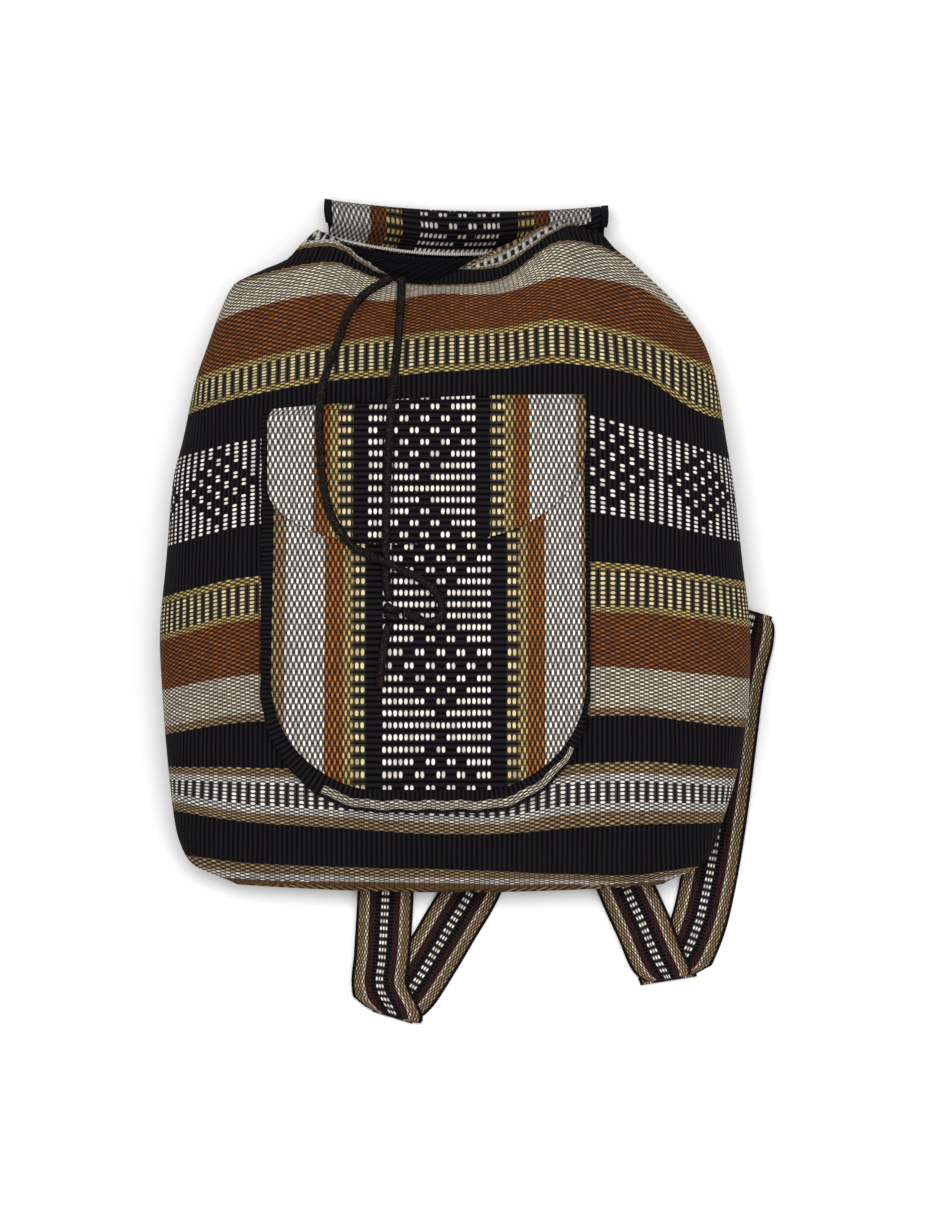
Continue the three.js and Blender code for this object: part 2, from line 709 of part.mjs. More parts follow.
// Pocket flap: sewn to the body above the pocket, lying over the pocket's mouth.
function pocketFlapGrid() {
  const seam = pocketHead + pocketFlapSeam;
  return pocketFlapRows.map((share) =>
    evenShares(pocketColumns).map((column) => {
      const side = mix(pocketFlapLeft, pocketFlapRight, (column + 1) / 2);
      const roundness = (1 - Math.abs(column) ** pocketFlapRound.across) ** pocketFlapRound.down;
      const length = mix(side, pocketFlapLength, roundness);
      const x = pocketFlapAxis + (pocketFlapWidth / 2) * column;
      const y = seam - share * length;
      const over = pocketStand(Math.min(y, pocketHead)) + pocketThickness + frontGap;
      const lifted = smooth((seam - y) / pocketFlapLift);
      return overFront(x, y, mix(frontGap, over, lifted) + pocketThickness / 2);
    }),
  );
}

function cordTube(route) {
  const curve = new THREE.CatmullRomCurve3(
    route.map((point) => new THREE.Vector3(...point)),
    false,
    'centripetal',
  );
  const section = new THREE.Shape();
  for (let i = 0; i < cordSides; i += 1) {
    const angle = (2 * Math.PI * i) / cordSides;
    const corner = [(cordDiameter / 2) * Math.cos(angle), (cordDiameter / 2) * Math.sin(angle)];
    if (i === 0) {
      section.moveTo(...corner);
    } else {
      section.lineTo(...corner);
    }
  }
  const steps = Math.ceil(curve.getLength() / (2 * cordDiameter));
  return new THREE.ExtrudeGeometry(section, { steps, extrudePath: curve });
}

function knot() {
  const profile = [];
  for (let i = 0; i <= knotRings; i += 1) {
    const angle = (Math.PI * i) / knotRings;
    const radius = i % knotRings === 0 ? 0 : (knotDiameter / 2) * Math.sin(angle);
    profile.push(new THREE.Vector2(radius, (-knotLength / 2) * Math.cos(angle)));
  }
  return new THREE.LatheGeometry(profile, knotSides);
}

function cloth(color, roughness = 0.9) {
  return new THREE.MeshStandardMaterial({ color, roughness, metalness: 0 });
}

const bag = new THREE.Group();

function add(name, geometry, material, place = [0, 0, 0]) {
  const mesh = new THREE.Mesh(geometry, material);
  mesh.name = name;
  mesh.position.set(...place);
  bag.add(mesh);
}

const flap = flapGrid();
add('bag_body', bodyShell(), cloth(0x6b4428));
add('pocket_front', clothSheet(pocketGrid(), pocketThickness), cloth(0xb9a888));
add('pocket_gusset', clothSheet(gussetGrid(), gussetThickness), cloth(0x241f20));
add('pocket_flap', clothSheet(pocketFlapGrid(), pocketThickness), cloth(0xc4b494));
add('mouth_flap', clothSheet(flap, flapThickness), cloth(0x8a7a62));
add('flap_binding', edgeBand(flap, 2, bindingWidth, bindingThickness), cloth(0x1c191b));
add('strap_left', clothSheet(strapGrid(leftStrapRoute), strapThickness), cloth(0x4a3226));
add('strap_right', clothSheet(strapGrid(rightStrapRoute), strapThickness), cloth(0x4a3226));
add('drawcord_left', cordTube(leftCordRoute), cloth(0x2d2323, 0.7));
add('drawcord_right', cordTube(rightCordRoute), cloth(0x2d2323, 0.7));
add('drawcord_tail', cordTube(tailCordRoute), cloth(0x2d2323, 0.7));
add('drawcord_knot', knot(), cloth(0x2d2323, 0.7), knotPlace);

export default bag;
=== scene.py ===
# Handwoven drawstring backpack, lying on its back on a pale floor.
import math

import bmesh
import bpy
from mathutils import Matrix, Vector, noise


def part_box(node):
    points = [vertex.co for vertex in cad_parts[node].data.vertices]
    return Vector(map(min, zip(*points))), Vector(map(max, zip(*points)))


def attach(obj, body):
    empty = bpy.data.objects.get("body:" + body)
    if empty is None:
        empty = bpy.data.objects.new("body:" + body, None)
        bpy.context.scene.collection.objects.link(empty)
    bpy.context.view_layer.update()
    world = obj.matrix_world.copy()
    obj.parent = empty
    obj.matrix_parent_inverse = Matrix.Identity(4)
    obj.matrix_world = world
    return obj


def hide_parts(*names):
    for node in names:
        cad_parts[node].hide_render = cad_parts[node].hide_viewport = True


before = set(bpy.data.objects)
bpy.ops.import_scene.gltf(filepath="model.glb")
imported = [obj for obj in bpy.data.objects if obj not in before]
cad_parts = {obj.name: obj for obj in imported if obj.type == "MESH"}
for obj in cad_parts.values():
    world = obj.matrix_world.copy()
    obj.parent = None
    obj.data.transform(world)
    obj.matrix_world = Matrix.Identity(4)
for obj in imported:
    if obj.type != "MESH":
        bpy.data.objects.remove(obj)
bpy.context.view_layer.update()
bodyLow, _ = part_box("bag_body")
mm = 0.001


# Camera, floor and light
view = {
    "distance": 6.0,  # far enough that nothing looks larger for being nearer
    "frameHeight": 0.7588,  # what the picture's height takes in at the floor
    "middle": (0.0006, 0.0016),
    "floorColor": (0.93, 0.93, 0.935, 1),
    "floorSize": 6.0,
    "floorRoughness": 0.8,
    "worldColor": (1.0, 1.0, 1.0, 1),
    "worldStrength": 0.6,
}
lights = [
    # name, place, size, power, what it points at
    ("keyLight", (-0.1, 0.35, 2.2), 1.2, 34, (0, 0, 0.05)),
    ("fillLight", (0.9, -0.5, 1.5), 1.6, 5, (0, 0, 0.05)),
]


def makeCamera():
    data = bpy.data.cameras.new("camera")
    data.sensor_fit = "VERTICAL"
    data.sensor_height = 24
    data.lens = data.sensor_height * view["distance"] / view["frameHeight"]
    data.clip_end = 40
    camera = bpy.data.objects.new("camera", data)
    camera.location = (*view["middle"], view["distance"])
    bpy.context.scene.collection.objects.link(camera)
    bpy.context.scene.camera = camera


def makeFloor():
    bpy.ops.mesh.primitive_plane_add(size=view["floorSize"])
    floor = bpy.context.object
    floor.name = "floor"
    material = bpy.data.materials.new("floor")
    material.use_nodes = True
    shader = material.node_tree.nodes["Principled BSDF"]
    shader.inputs["Base Color"].default_value = view["floorColor"]
    shader.inputs["Roughness"].default_value = view["floorRoughness"]
    floor.data.materials.append(material)


def makeLights():
    for name, place, size, power, target in lights:
        data = bpy.data.lights.new(name, "AREA")
        data.shape = "DISK"
        data.size = size
        data.energy = power
        light = bpy.data.objects.new(name, data)
        light.location = place
        light.rotation_euler = (Vector(target) - Vector(place)).to_track_quat("-Z", "Y").to_euler()
        bpy.context.scene.collection.objects.link(light)
    world = bpy.data.worlds.new("studio")
    bpy.context.scene.world = world
    world.use_nodes = True
    background = world.node_tree.nodes["Background"]
    background.inputs["Color"].default_value = view["worldColor"]
    background.inputs["Strength"].default_value = view["worldStrength"]
    bpy.context.scene.view_settings.view_transform = "Standard"


makeCamera()
makeFloor()
makeLights()
print("stage: camera, floor and lights")


# Small helpers for shapes
def smooth(share):
    held = min(max(share, 0), 1)
    return held * held * (3 - 2 * held)


def mix(start, end, share):
    return start + (end - start) * share


# Point on a smooth curve through all the points, from 0 at the first to 1 at the last
def curvePoint(points, share):
    last = len(points) - 1
    place = min(max(share, 0), 1) * last
    index = min(int(place), last - 1)
    t = place - index
    b, c = points[index], points[index + 1]
    a = points[index - 1] if index > 0 else b + (b - c)
    d = points[index + 2] if index + 2 <= last else c + (c - b)
    bend = (a * 2 - b * 5 + c * 4 - d) * t * t
    twist = (b * 3 - a - c * 3 + d) * t * t * t
    return (b * 2 + (c - a) * t + bend + twist) * 0.5


# Value of a column at a place between two rows, on a curve that never overshoots
def tableValue(table, column, key, place):
    index = 0
    while index < len(table) - 2 and table[index + 1][key] <= place:
        index += 1
    a, b = table[index], table[index + 1]
    span = b[key] - a[key]
    t = min(max((place - a[key]) / span, 0), 1)

    def slope(i):
        before = table[max(i, 1)], table[max(i, 1) - 1]
        after = table[min(i, len(table) - 2) + 1], table[min(i, len(table) - 2)]
        rises = [(n[column] - m[column]) / (n[key] - m[key]) for n, m in (before, after)]
        return 2 * rises[0] * rises[1] / (rises[0] + rises[1]) if rises[0] * rises[1] > 0 else 0

    return (
        a[column] * (2 * t**3 - 3 * t**2 + 1)
        + slope(index) * span * (t**3 - 2 * t**2 + t)
        + b[column] * (3 * t**2 - 2 * t**3)
        + slope(index + 1) * span * (t**3 - t**2)
    )


# Piece from a flat grid whose corners go to place(u, v), with the cloth's own measures as its UV map
def gridPiece(name, columns, rows, place, cloth, closed=False):
    bm = bmesh.new()
    bmesh.ops.create_grid(bm, x_segments=columns, y_segments=rows, size=0.5)
    uvLayer = bm.loops.layers.uv.new("cloth")
    measures = {}
    for vert in bm.verts:
        u, v = vert.co.x + 0.5, vert.co.y + 0.5
        measures[vert] = cloth(u, v)
        vert.co = place(u, v)
    for face in bm.faces:
        face.smooth = True
        for loop in face.loops:
            loop[uvLayer].uv = measures[loop.vert]
    if closed:
        bmesh.ops.remove_doubles(bm, verts=bm.verts, dist=2e-6)
    bmesh.ops.recalc_face_normals(bm, faces=bm.faces)
    mesh = bpy.data.meshes.new(name)
    bm.to_mesh(mesh)
    bm.free()
    piece = bpy.data.objects.new(name, mesh)
    bpy.context.scene.collection.objects.link(piece)
    return piece


# The same from points and measures worked out beforehand for every column and row
def tablePiece(name, columns, rows, points, measures, closed=False):
    def at(table):
        return lambda u, v: table[round(u * columns), round(v * rows)]

    return gridPiece(name, columns, rows, at(points), at(measures), closed)


def finishPiece(piece, material, node, thickness=0, offset=0):
    if thickness:
        solidify = piece.modifiers.new("thickness", "SOLIDIFY")
        solidify.thickness = thickness
        solidify.offset = offset
    piece.data.materials.append(material)
    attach(piece, "root")
    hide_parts(node)


# Shader nodes of one material, joined by short calls
class Nodes:
    def __init__(self, name):
        self.material = bpy.data.materials.new(name)
        self.material.use_nodes = True
        self.tree = self.material.node_tree
        self.shader = self.tree.nodes["Principled BSDF"]

    def node(self, kind, **settings):
        made = self.tree.nodes.new(kind)
        for key, value in settings.items():
            setattr(made, key, value)
        return made

    def put(self, socket, value):
        if isinstance(value, bpy.types.NodeSocket):
            self.tree.links.new(value, socket)
        else:
            socket.default_value = value

    def calc(self, operation, *values):
        made = self.node("ShaderNodeMath", operation=operation)
        for socket, value in zip(made.inputs, values):
            self.put(socket, value)
        return made.outputs[0]

    def plus(self, first, second):
        return self.calc("ADD", first, second)

    def times(self, first, second):
        return self.calc("MULTIPLY", first, second)

    def blend(self, share, first, second):
        made = self.node("ShaderNodeMix", data_type="RGBA")
        self.put(made.inputs["Factor"], share)
        self.put(made.inputs[6], first)
        self.put(made.inputs[7], second)
        return made.outputs[2]

    # Colour that changes at each stop, with no blend between
    def steps(self, place, stops):
        made = self.node("ShaderNodeValToRGB")
        ramp = made.color_ramp
        ramp.interpolation = "CONSTANT"
        while len(ramp.elements) < len(stops):
            ramp.elements.new(0.5)
        for element, (position, color) in zip(ramp.elements, stops):
            element.position = position
            element.color = color
        self.put(made.inputs["Fac"], place)
        return made.outputs["Color"]

    def noise(self, vector, scale, detail=2):
        made = self.node("ShaderNodeTexNoise")
        self.put(made.inputs["Vector"], vector)
        made.inputs["Scale"].default_value = scale
        made.inputs["Detail"].default_value = detail
        return made.outputs["Fac"]

    def scaled(self, color, factor):
        made = self.node("ShaderNodeVectorMath", operation="SCALE")
        self.put(made.inputs[0], color)
        self.put(made.inputs["Scale"], factor)
        return made.outputs[0]

    # How far a place of a cell is from its middle, 1 at the rim of an oval of these half sizes
    def oval(self, along, across, halves, power):
        parts = []
        for place, half in zip((along, across), halves):
            share = self.calc("DIVIDE", self.calc("SUBTRACT", place, 0.5), half)
            parts.append(self.calc("POWER", self.calc("ABSOLUTE", share), power))
        return self.plus(*parts)


# Woven cloth
yarnColors = {
    "black": (0.0042, 0.0036, 0.0044),
    "white": (0.77, 0.715, 0.65),
    "cream": (0.68, 0.6, 0.46),
    "tan": (0.36, 0.24, 0.12),
    "gold": (0.5, 0.365, 0.13),
    "straw": (0.62, 0.51, 0.28),
    "amber": (0.36, 0.13, 0.03),
    "rust": (0.25, 0.077, 0.016),
    "maroon": (0.06, 0.014, 0.01),
    "brown": (0.27, 0.15, 0.06),
}
bandKinds = {"plain": 0.0, "brick": 0.3, "column": 0.6, "diamond": 0.9}

# Bands from the diamond's middle outward, in mm: where each ends, its yarn and how it is woven.
bodyBands = [
    (27, "white", "diamond"), (61, "black", "plain"), (66, "gold", "brick"), (86, "straw", "column"),
    (91, "gold", "brick"), (122, "rust", "brick"), (148, "cream", "brick"), (153, "tan", "brick"),
    (184, "black", "plain"), (190, "tan", "brick"), (195, "white", "brick"), (210, "white", "column"),
    (215, "white", "brick"), (222, "tan", "brick"), (248, "black", "plain"), (254, "tan", "brick"),
    (261, "white", "brick"), (330, "brown", "brick"),
]
pocketBands = [
    (32.4, "white", "diamond"), (41.5, "black", "plain"), (48.6, "straw", "column"), (54, "gold", "brick"),
    (65, "amber", "brick"), (87, "white", "brick"), (97, "tan", "brick"), (130, "black", "plain"),
]
pocketFlapBands = [
    (32.4, "white", "diamond"), (41, "black", "plain"), (48.8, "straw", "column"), (54.6, "gold", "brick"),
    (64, "amber", "brick"), (92, "white", "brick"), (100, "tan", "brick"), (130, "black", "plain"),
]
flapBands = [
    (24.2, "white", "diamond"), (36, "black", "plain"), (45.6, "gold", "column"), (55.6, "rust", "brick"),
    (81, "white", "brick"), (110, "black", "plain"),
]
strapBands = [
    (2.5, "white", "column"), (5.6, "black", "plain"), (9.3, "maroon", "brick"), (11.2, "cream", "brick"),
    (15.6, "tan", "brick"), (20, "black", "plain"),
]
gussetBands = [(3.3, "cream", "brick"), (40, "black", "plain")]
darkBands = [(40, "black", "plain")]

# Shares and heights of the weave
weave = {
    "wander": 2.2 * mm, "wanderScale": 38, "wanderAlong": 0.4, "wanderAcross": 0.6,  # how far yarns stray
    "columnFloat": (0.27, 0.37), "brickFloat": (0.245, 0.5), "floatPower": 2.3,  # half sizes in a cell
    "floatRim": 1.15, "floatTop": 0.35, "diamondPairs": 10,
    "shade": 0.66, "shadeRange": 0.56, "slowShade": 0.8, "slowRange": 0.4, "slowScale": 26,
    "brickGround": 0.13, "columnGround": 0.035, "darkGround": 0.25, "blackRibHighlight": 2.6,  # under the floats, with a painted highlight along the black rib tops
    "ribHeight": 0.4, "floatHeight": 0.6, "fuzz": 0.25, "fuzzScale": 1900, "bumpStrength": 0.9,
    "roughness": 0.85, "specular": 0.03,
}


# Warp-faced cloth. U runs along the bands and V across them, in metres. The bands are only drawn where U is
# between the two values of bandReach. Seam is the width of a row of light stitches at U = 0; relief is in mm.
# Tone below 1 darkens all the floats' colour: painted shade, partly muted yarn.
def wovenCloth(name, bands, ribPitch, yarnPitch, relief=0.5, bandReach=None, seam=0, toneAndPaintedLight=1):
    n = Nodes(name)
    uv = n.node("ShaderNodeUVMap", uv_map="cloth").outputs["UV"]
    split = n.node("ShaderNodeSeparateXYZ")
    n.put(split.inputs[0], uv)
    wander = n.times(n.calc("SUBTRACT", n.noise(uv, weave["wanderScale"]), 0.5), weave["wander"])
    along = n.plus(split.outputs["X"], n.times(wander, weave["wanderAlong"]))
    across = n.plus(split.outputs["Y"], n.times(wander, weave["wanderAcross"]))
    away = n.calc("ABSOLUTE", across)

    # Which band
    reach = bands[-1][0] * mm
    share = n.calc("DIVIDE", away, reach)
    if bandReach:
        outside = n.calc(
            "MAXIMUM", n.calc("LESS_THAN", along, bandReach[0]), n.calc("GREATER_THAN", along, bandReach[1])
        )
        share = n.calc("MAXIMUM", share, n.times(outside, 0.99))
    starts = [0] + [edge * mm / reach for edge, _, _ in bands[:-1]]
    yarn = n.steps(share, [(s, (*yarnColors[y], 1)) for s, (_, y, _) in zip(starts, bands)])
    kind = n.steps(share, [(s, (bandKinds[k],) * 3 + (1,)) for s, (_, _, k) in zip(starts, bands)])
    isKind = {key: n.calc("COMPARE", kind, value, 0.1) for key, value in bandKinds.items()}

    # Floats in columns: each over one rib in two
    pairs = n.calc("DIVIDE", along, 2 * ribPitch)
    lanes = n.plus(n.calc("DIVIDE", across, yarnPitch), 0.5)
    pair, lane = n.calc("FLOOR", pairs), n.calc("FLOOR", lanes)
    columnCell = n.calc("FRACT", pairs), n.calc("FRACT", lanes)
    columnFar = n.oval(*columnCell, weave["columnFloat"], weave["floatPower"])

    # Floats in bricks: long and narrow, each lane half a float along from the next
    brickLanes = n.plus(n.calc("DIVIDE", across, yarnPitch / 2), 0.5)
    brickLane = n.calc("FLOOR", brickLanes)
    stagger = n.times(n.calc("FLOORED_MODULO", brickLane, 2), 0.5)
    bricks = n.plus(pairs, stagger)
    brickCell = n.calc("FRACT", bricks), n.calc("FRACT", brickLanes)
    brickFar = n.oval(*brickCell, weave["brickFloat"], weave["floatPower"])

    def choose(column, brick):
        return n.plus(column, n.times(n.calc("SUBTRACT", brick, column), isKind["brick"]))

    rounding = n.node("ShaderNodeMapRange", interpolation_type="SMOOTHSTEP")
    n.put(rounding.inputs["Value"], choose(columnFar, brickFar))
    rounding.inputs["From Min"].default_value = weave["floatRim"]
    rounding.inputs["From Max"].default_value = weave["floatTop"]
    oval = rounding.outputs["Result"]

    # Which floats are light
    turn = n.calc("DIVIDE", pair, weave["diamondPairs"])
    fromMiddle = n.times(n.calc("ABSOLUTE", n.calc("SUBTRACT", n.calc("FRACT", turn), 0.5)), 2)
    width = n.calc("DIVIDE", away, bands[0][0] * mm)
    inside = n.calc("LESS_THAN", n.plus(fromMiddle, width), 1.0)
    group = n.calc("FLOOR", n.calc("DIVIDE", n.plus(lane, n.times(pair, 2)), 2))
    checked = n.calc("FLOORED_MODULO", group, 2)
    diamond = n.calc("SUBTRACT", 1, n.times(inside, checked))
    striped = n.plus(isKind["brick"], isKind["column"])
    light = n.plus(striped, n.times(isKind["diamond"], diamond))
    lit = n.times(light, oval)

    # Colour with the uneven shade of hand-dyed yarn, painted highlights along the rib tops, and painted shade
    # where the tone is below 1
    cell = n.node("ShaderNodeCombineXYZ")
    n.put(cell.inputs[0], n.calc("FLOOR", choose(pairs, bricks)))
    n.put(cell.inputs[1], choose(lane, brickLane))
    white = n.node("ShaderNodeTexWhiteNoise", noise_dimensions="2D")
    n.put(white.inputs["Vector"], cell.outputs[0])
    uneven = n.times(white.outputs["Value"], weave["shadeRange"] * toneAndPaintedLight)
    shade = n.plus(weave["shade"] * toneAndPaintedLight, uneven)
    slowChange = n.times(n.noise(uv, weave["slowScale"], 3), weave["slowRange"])
    slow = n.plus(weave["slowShade"], slowChange)
    rib = n.calc("SUBTRACT", n.calc("FRACT", n.calc("DIVIDE", along, ribPitch)), 0.5)
    ribHeight = n.calc("SUBTRACT", 1, n.calc("POWER", n.calc("ABSOLUTE", n.times(rib, 2)), 2))
    brickGround = n.times(isKind["brick"], weave["brickGround"])
    columnGround = n.times(isKind["column"], weave["columnGround"])
    under = n.plus(brickGround, columnGround)
    # Both grounds grow lighter toward each rib's top through ribHeight: painted highlights along the ribs
    dark = n.plus(weave["darkGround"], n.times(n.calc("POWER", ribHeight, 2), weave["blackRibHighlight"]))
    ground = n.node("ShaderNodeVectorMath", operation="ADD")
    n.put(ground.inputs[0], n.scaled(yarn, n.times(under, ribHeight)))
    n.put(ground.inputs[1], n.scaled(yarnColors["black"], dark))
    color = n.blend(lit, ground.outputs[0], n.scaled(yarn, n.times(shade, slow)))
    if seam:
        stitch = n.times(n.calc("LESS_THAN", split.outputs["X"], seam), n.calc("FRACT", brickLanes))
        color = n.blend(stitch, color, (*yarnColors["white"], 1))
    n.put(n.shader.inputs["Base Color"], color)

    # Relief: ribs everywhere, and floats on top
    ribs = n.times(ribHeight, weave["ribHeight"])
    height = n.plus(ribs, n.times(oval, weave["floatHeight"]))
    fuzz = n.times(n.noise(uv, weave["fuzzScale"], 3), weave["fuzz"])
    bump = n.node("ShaderNodeBump")
    bump.inputs["Strength"].default_value = weave["bumpStrength"]
    bump.inputs["Distance"].default_value = relief * mm
    n.put(bump.inputs["Height"], n.plus(height, fuzz))
    n.put(n.shader.inputs["Normal"], bump.outputs["Normal"])
    n.shader.inputs["Roughness"].default_value = weave["roughness"]
    n.shader.inputs["Specular IOR Level"].default_value = weave["specular"]
    return n.material


bodyCloth = wovenCloth("bodyCloth", bodyBands, ribPitch=3.1 * mm, yarnPitch=2.55 * mm)
pocketCloth = wovenCloth("pocketCloth", pocketBands, ribPitch=3.5 * mm, yarnPitch=3.1 * mm)
pocketFlapCloth = wovenCloth("pocketFlapCloth", pocketFlapBands, ribPitch=3.5 * mm, yarnPitch=3.1 * mm)
# The top flap's floats are darkened to 0.6: painted shade, partly muted yarn.
flapCloth = wovenCloth("flapCloth", flapBands, ribPitch=3.5 * mm, yarnPitch=3.0 * mm, seam=2.2 * mm, toneAndPaintedLight=0.6)
strapCloth = wovenCloth("strapCloth", strapBands, ribPitch=2.25 * mm, yarnPitch=1.67 * mm, relief=0.35)
gussetCloth = wovenCloth(
    "gussetCloth", gussetBands, ribPitch=2.8 * mm, yarnPitch=2.4 * mm, bandReach=(0.228, 0.378)
)
darkCloth = wovenCloth("darkCloth", darkBands, ribPitch=2.8 * mm, yarnPitch=2.4 * mm)
print("stage: cloth materials")


# Bag body
body = {
    "width": 366 * mm, "length": 408 * mm, "depth": 118 * mm, "axis": -7.5 * mm, "bottomSeam": -175.5 * mm,
    "wall": 2.2 * mm, "frontSquareness": 2.35, "backSquareness": 4, "bottomBow": 5 * mm,
    "mouthDipFront": 31 * mm, "mouthDipBack": 13 * mm, "mouthDipCentre": -0.3, "mouthDipSpread": 0.52,
    "mouthDipStart": 0.75, "foldDepth": 6 * mm, "dentDepth": 5 * mm, "rest": bodyLow.z,
    "peakStart": 0.9, "bowEnd": 0.07, "seamEnd": 0.02, "rumpleEnd": 0.05,  # shares of the length
    "rumples": ((22, 2.4), (55, 0.9)),  # scale, height in mm
    "rippleStart": 0.93, "ripples": 31, "rippleHeight": 1.1 * mm, "hemStart": 0.955, "hemHeight": 1.2 * mm,
    "columns": 216, "rows": 170,
}
bodySections = [
    dict(along=a, left=l, right=r, crown=c, side=s, back=b)
    for a, l, r, c, s, b in [
        (0, 0.373, 0.348, 0.205, 0.185, 0.165), (0.035, 0.446, 0.414, 0.4, 0.2, 0.06),
        (0.065, 0.465, 0.434, 0.55, 0.23, 0.02), (0.096, 0.476, 0.446, 0.66, 0.27, 0),
        (0.202, 0.49, 0.479, 0.87, 0.32, 0), (0.309, 0.499, 0.495, 0.96, 0.34, 0),
        (0.385, 0.503, 0.497, 1, 0.34, 0), (0.506, 0.492, 0.483, 1, 0.34, 0),
        (0.628, 0.48, 0.467, 0.98, 0.34, 0), (0.688, 0.464, 0.456, 0.96, 0.33, 0),
        (0.78, 0.442, 0.439, 0.9, 0.32, 0), (0.825, 0.425, 0.424, 0.85, 0.31, 0),
        (0.886, 0.4, 0.382, 0.75, 0.3, 0), (0.924, 0.378, 0.339, 0.67, 0.29, 0),
        (0.944, 0.33, 0.314, 0.63, 0.28, 0.01), (0.959, 0.286, 0.293, 0.59, 0.28, 0.02),
        (0.977, 0.262, 0.262, 0.53, 0.27, 0.05), (1, 0.236, 0.242, 0.46, 0.27, 0.08),
    ]
]
mouthFolds = [
    # across, spread, rise, reach
    (-0.82, 0.09, 0.7, 0.16), (-0.6, 0.08, -0.8, 0.2), (-0.42, 0.08, 0.6, 0.14), (-0.2, 0.1, -1, 0.22),
    (0.08, 0.09, 0.9, 0.16), (0.3, 0.09, -1, 0.26), (0.55, 0.11, 1.4, 0.24), (0.82, 0.08, -0.7, 0.16),
]
frontDents = [
    # along, across, length, width, rise
    (0.13, -0.74, 0.09, 0.2, -0.8), (0.08, -0.1, 0.05, 0.4, -0.5), (0.11, 0.55, 0.06, 0.2, 0.6),
    (0.32, 0.8, 0.1, 0.16, -0.6), (0.45, -0.82, 0.1, 0.14, 0.6), (0.62, 0.82, 0.1, 0.14, 0.6),
    (0.66, -0.84, 0.08, 0.14, -0.6), (0.83, -0.7, 0.07, 0.2, -0.8), (0.85, 0.72, 0.06, 0.2, -0.7),
]
# Where each band's edge lies, in mm: its distance from the diamond's middle, then its y in every column.
bandColumns = [-192, -141, -85, -54, -24, 19, 56, 105, 142, 174]
bandPlaces = [
    (-300, -167.3, -170.9, -173.3, -174.4, -174.8, -175.4, -175.0, -173.6, -168.8, -166.1),
    (-261, -159.9, -167.3, -169.0, -169.5, -169.9, -170.5, -170.7, -171.7, -163.8, -162.3),
    (-254, -156.1, -161.7, -163.5, -164.6, -165.0, -165.6, -166.4, -168.1, -161.4, -159.9),
    (-248, -148.7, -155.6, -158.0, -159.1, -159.5, -161.4, -163.3, -163.8, -158.9, -156.1),
    (-222, -121.4, -129.1, -132.9, -135.2, -136.9, -136.9, -133.3, -130.6, -130.6, -130.1),
    (-215, -117.1, -124.2, -126.7, -128.5, -130.2, -131.4, -125.4, -123.3, -124.4, -125.2),
    (-210, -112.8, -119.3, -123.0, -125.4, -126.5, -127.7, -121.1, -118.4, -119.5, -120.8),
    (-195, -104.1, -105.1, -106.5, -111.3, -113.7, -114.9, -105.8, -104.2, -106.5, -109.0),
    (-190, -100.4, -102.0, -102.8, -107.6, -110.0, -110.6, -101.5, -99.9, -102.2, -104.7),
    (-184, -96.6, -96.5, -97.9, -104.0, -106.3, -106.3, -95.4, -92.6, -95.4, -98.5),
    (-153, -77.4, -68.8, -68.5, -73.4, -76.4, -76.4, -66.0, -64.4, -69.0, -72.5),
    (-148, -72.5, -63.9, -63.6, -68.5, -71.5, -71.5, -61.1, -59.5, -63.4, -66.9),
    (-122, -49.5, -39.9, -39.7, -44.6, -48.8, -48.8, -35.4, -35.5, -38.8, -42.1),
    (-91, -18.5, -6.1, -4.8, -8.5, -12.2, -9.1, -1.2, -1.2, -4.9, -9.9),
    (-86, -15.4, -2.4, -1.2, -4.8, -8.5, -5.4, 1.9, 2.5, -1.2, -6.1),
    (-66, 4.4, 15.4, 17.2, 13.5, 11.1, 13.5, 25.2, 24.0, 18.5, 13.7),
    (-61, 8.1, 20.4, 22.1, 18.4, 16.0, 18.4, 30.1, 28.3, 22.9, 18.0),
    (-27, 37.2, 50.5, 55.2, 49.0, 42.9, 49.0, 60.0, 54.7, 46.9, 40.3),
    (27, 91.8, 104.0, 110.3, 110.2, 110.1, 113.2, 122.5, 112.3, 100.5, 89.3),
    (61, 114.7, 129.9, 139.7, 142.1, 145.0, 147.4, 150.6, 143.0, 121.4, 114.7),
    (66, 118.4, 133.5, 144.0, 146.3, 149.3, 151.1, 154.9, 146.7, 125.8, 119.1),
    (86, 131.5, 147.7, 159.9, 164.1, 167.0, 169.5, 173.9, 165.1, 148.6, 139.5),
    (91, 135.2, 152.0, 163.6, 167.8, 170.7, 173.1, 178.2, 168.8, 153.5, 143.8),
    (122, 161.2, 184.0, 194.9, 190.4, 195.4, 195.1, 204.5, 198.9, 175.1, 161.2),
    (148, 186.0, 202.4, 213.2, 203.9, 200.0, 202.5, 226.5, 214.0, 191.1, 179.8),
    (153, 188.5, 204.9, 215.1, 205.1, 200.6, 204.3, 228.0, 216.0, 193.5, 182.3),
    (184, 198.4, 214.1, 224.9, 208.2, 212.0, 212.3, 236.0, 250.0, 235.0, 220.0),
    (215, 207.7, 221.5, 236.0, 213.0, 204.9, 220.2, 241.0, 262.0, 247.0, 232.0),
    (222, 209.5, 223.4, 240.0, 214.3, 222.0, 222.0, 243.0, 264.0, 249.0, 234.0),
]
# The back's middle is raised to the black band that it keeps up to the mouth, in mm.
backBands = {"last": 178, "raise": 40, "from": 120, "over": 60, "side": 0.2}
rimPeaks = [(0.72, 0.22, 8), (-0.95, 0.16, 4)]  # across, spread, rise in mm


def bodyRelief(along, across):
    height = 0
    for middle, spread, rise, reach in mouthFolds:
        near = math.exp(-(((across - middle) / spread) ** 2))
        height += body["foldDepth"] * rise * near * smooth((along - 1 + reach) / reach)
    for at, middle, length, width, rise in frontDents:
        distance = ((along - at) / length) ** 2 + ((across - middle) / width) ** 2
        height += body["dentDepth"] * rise * math.exp(-distance)
    return height


def section(column, along):
    return tableValue(bodySections, column, "along", along)


def sectionHeight(column, along):
    return body["rest"] + body["depth"] * section(column, along)


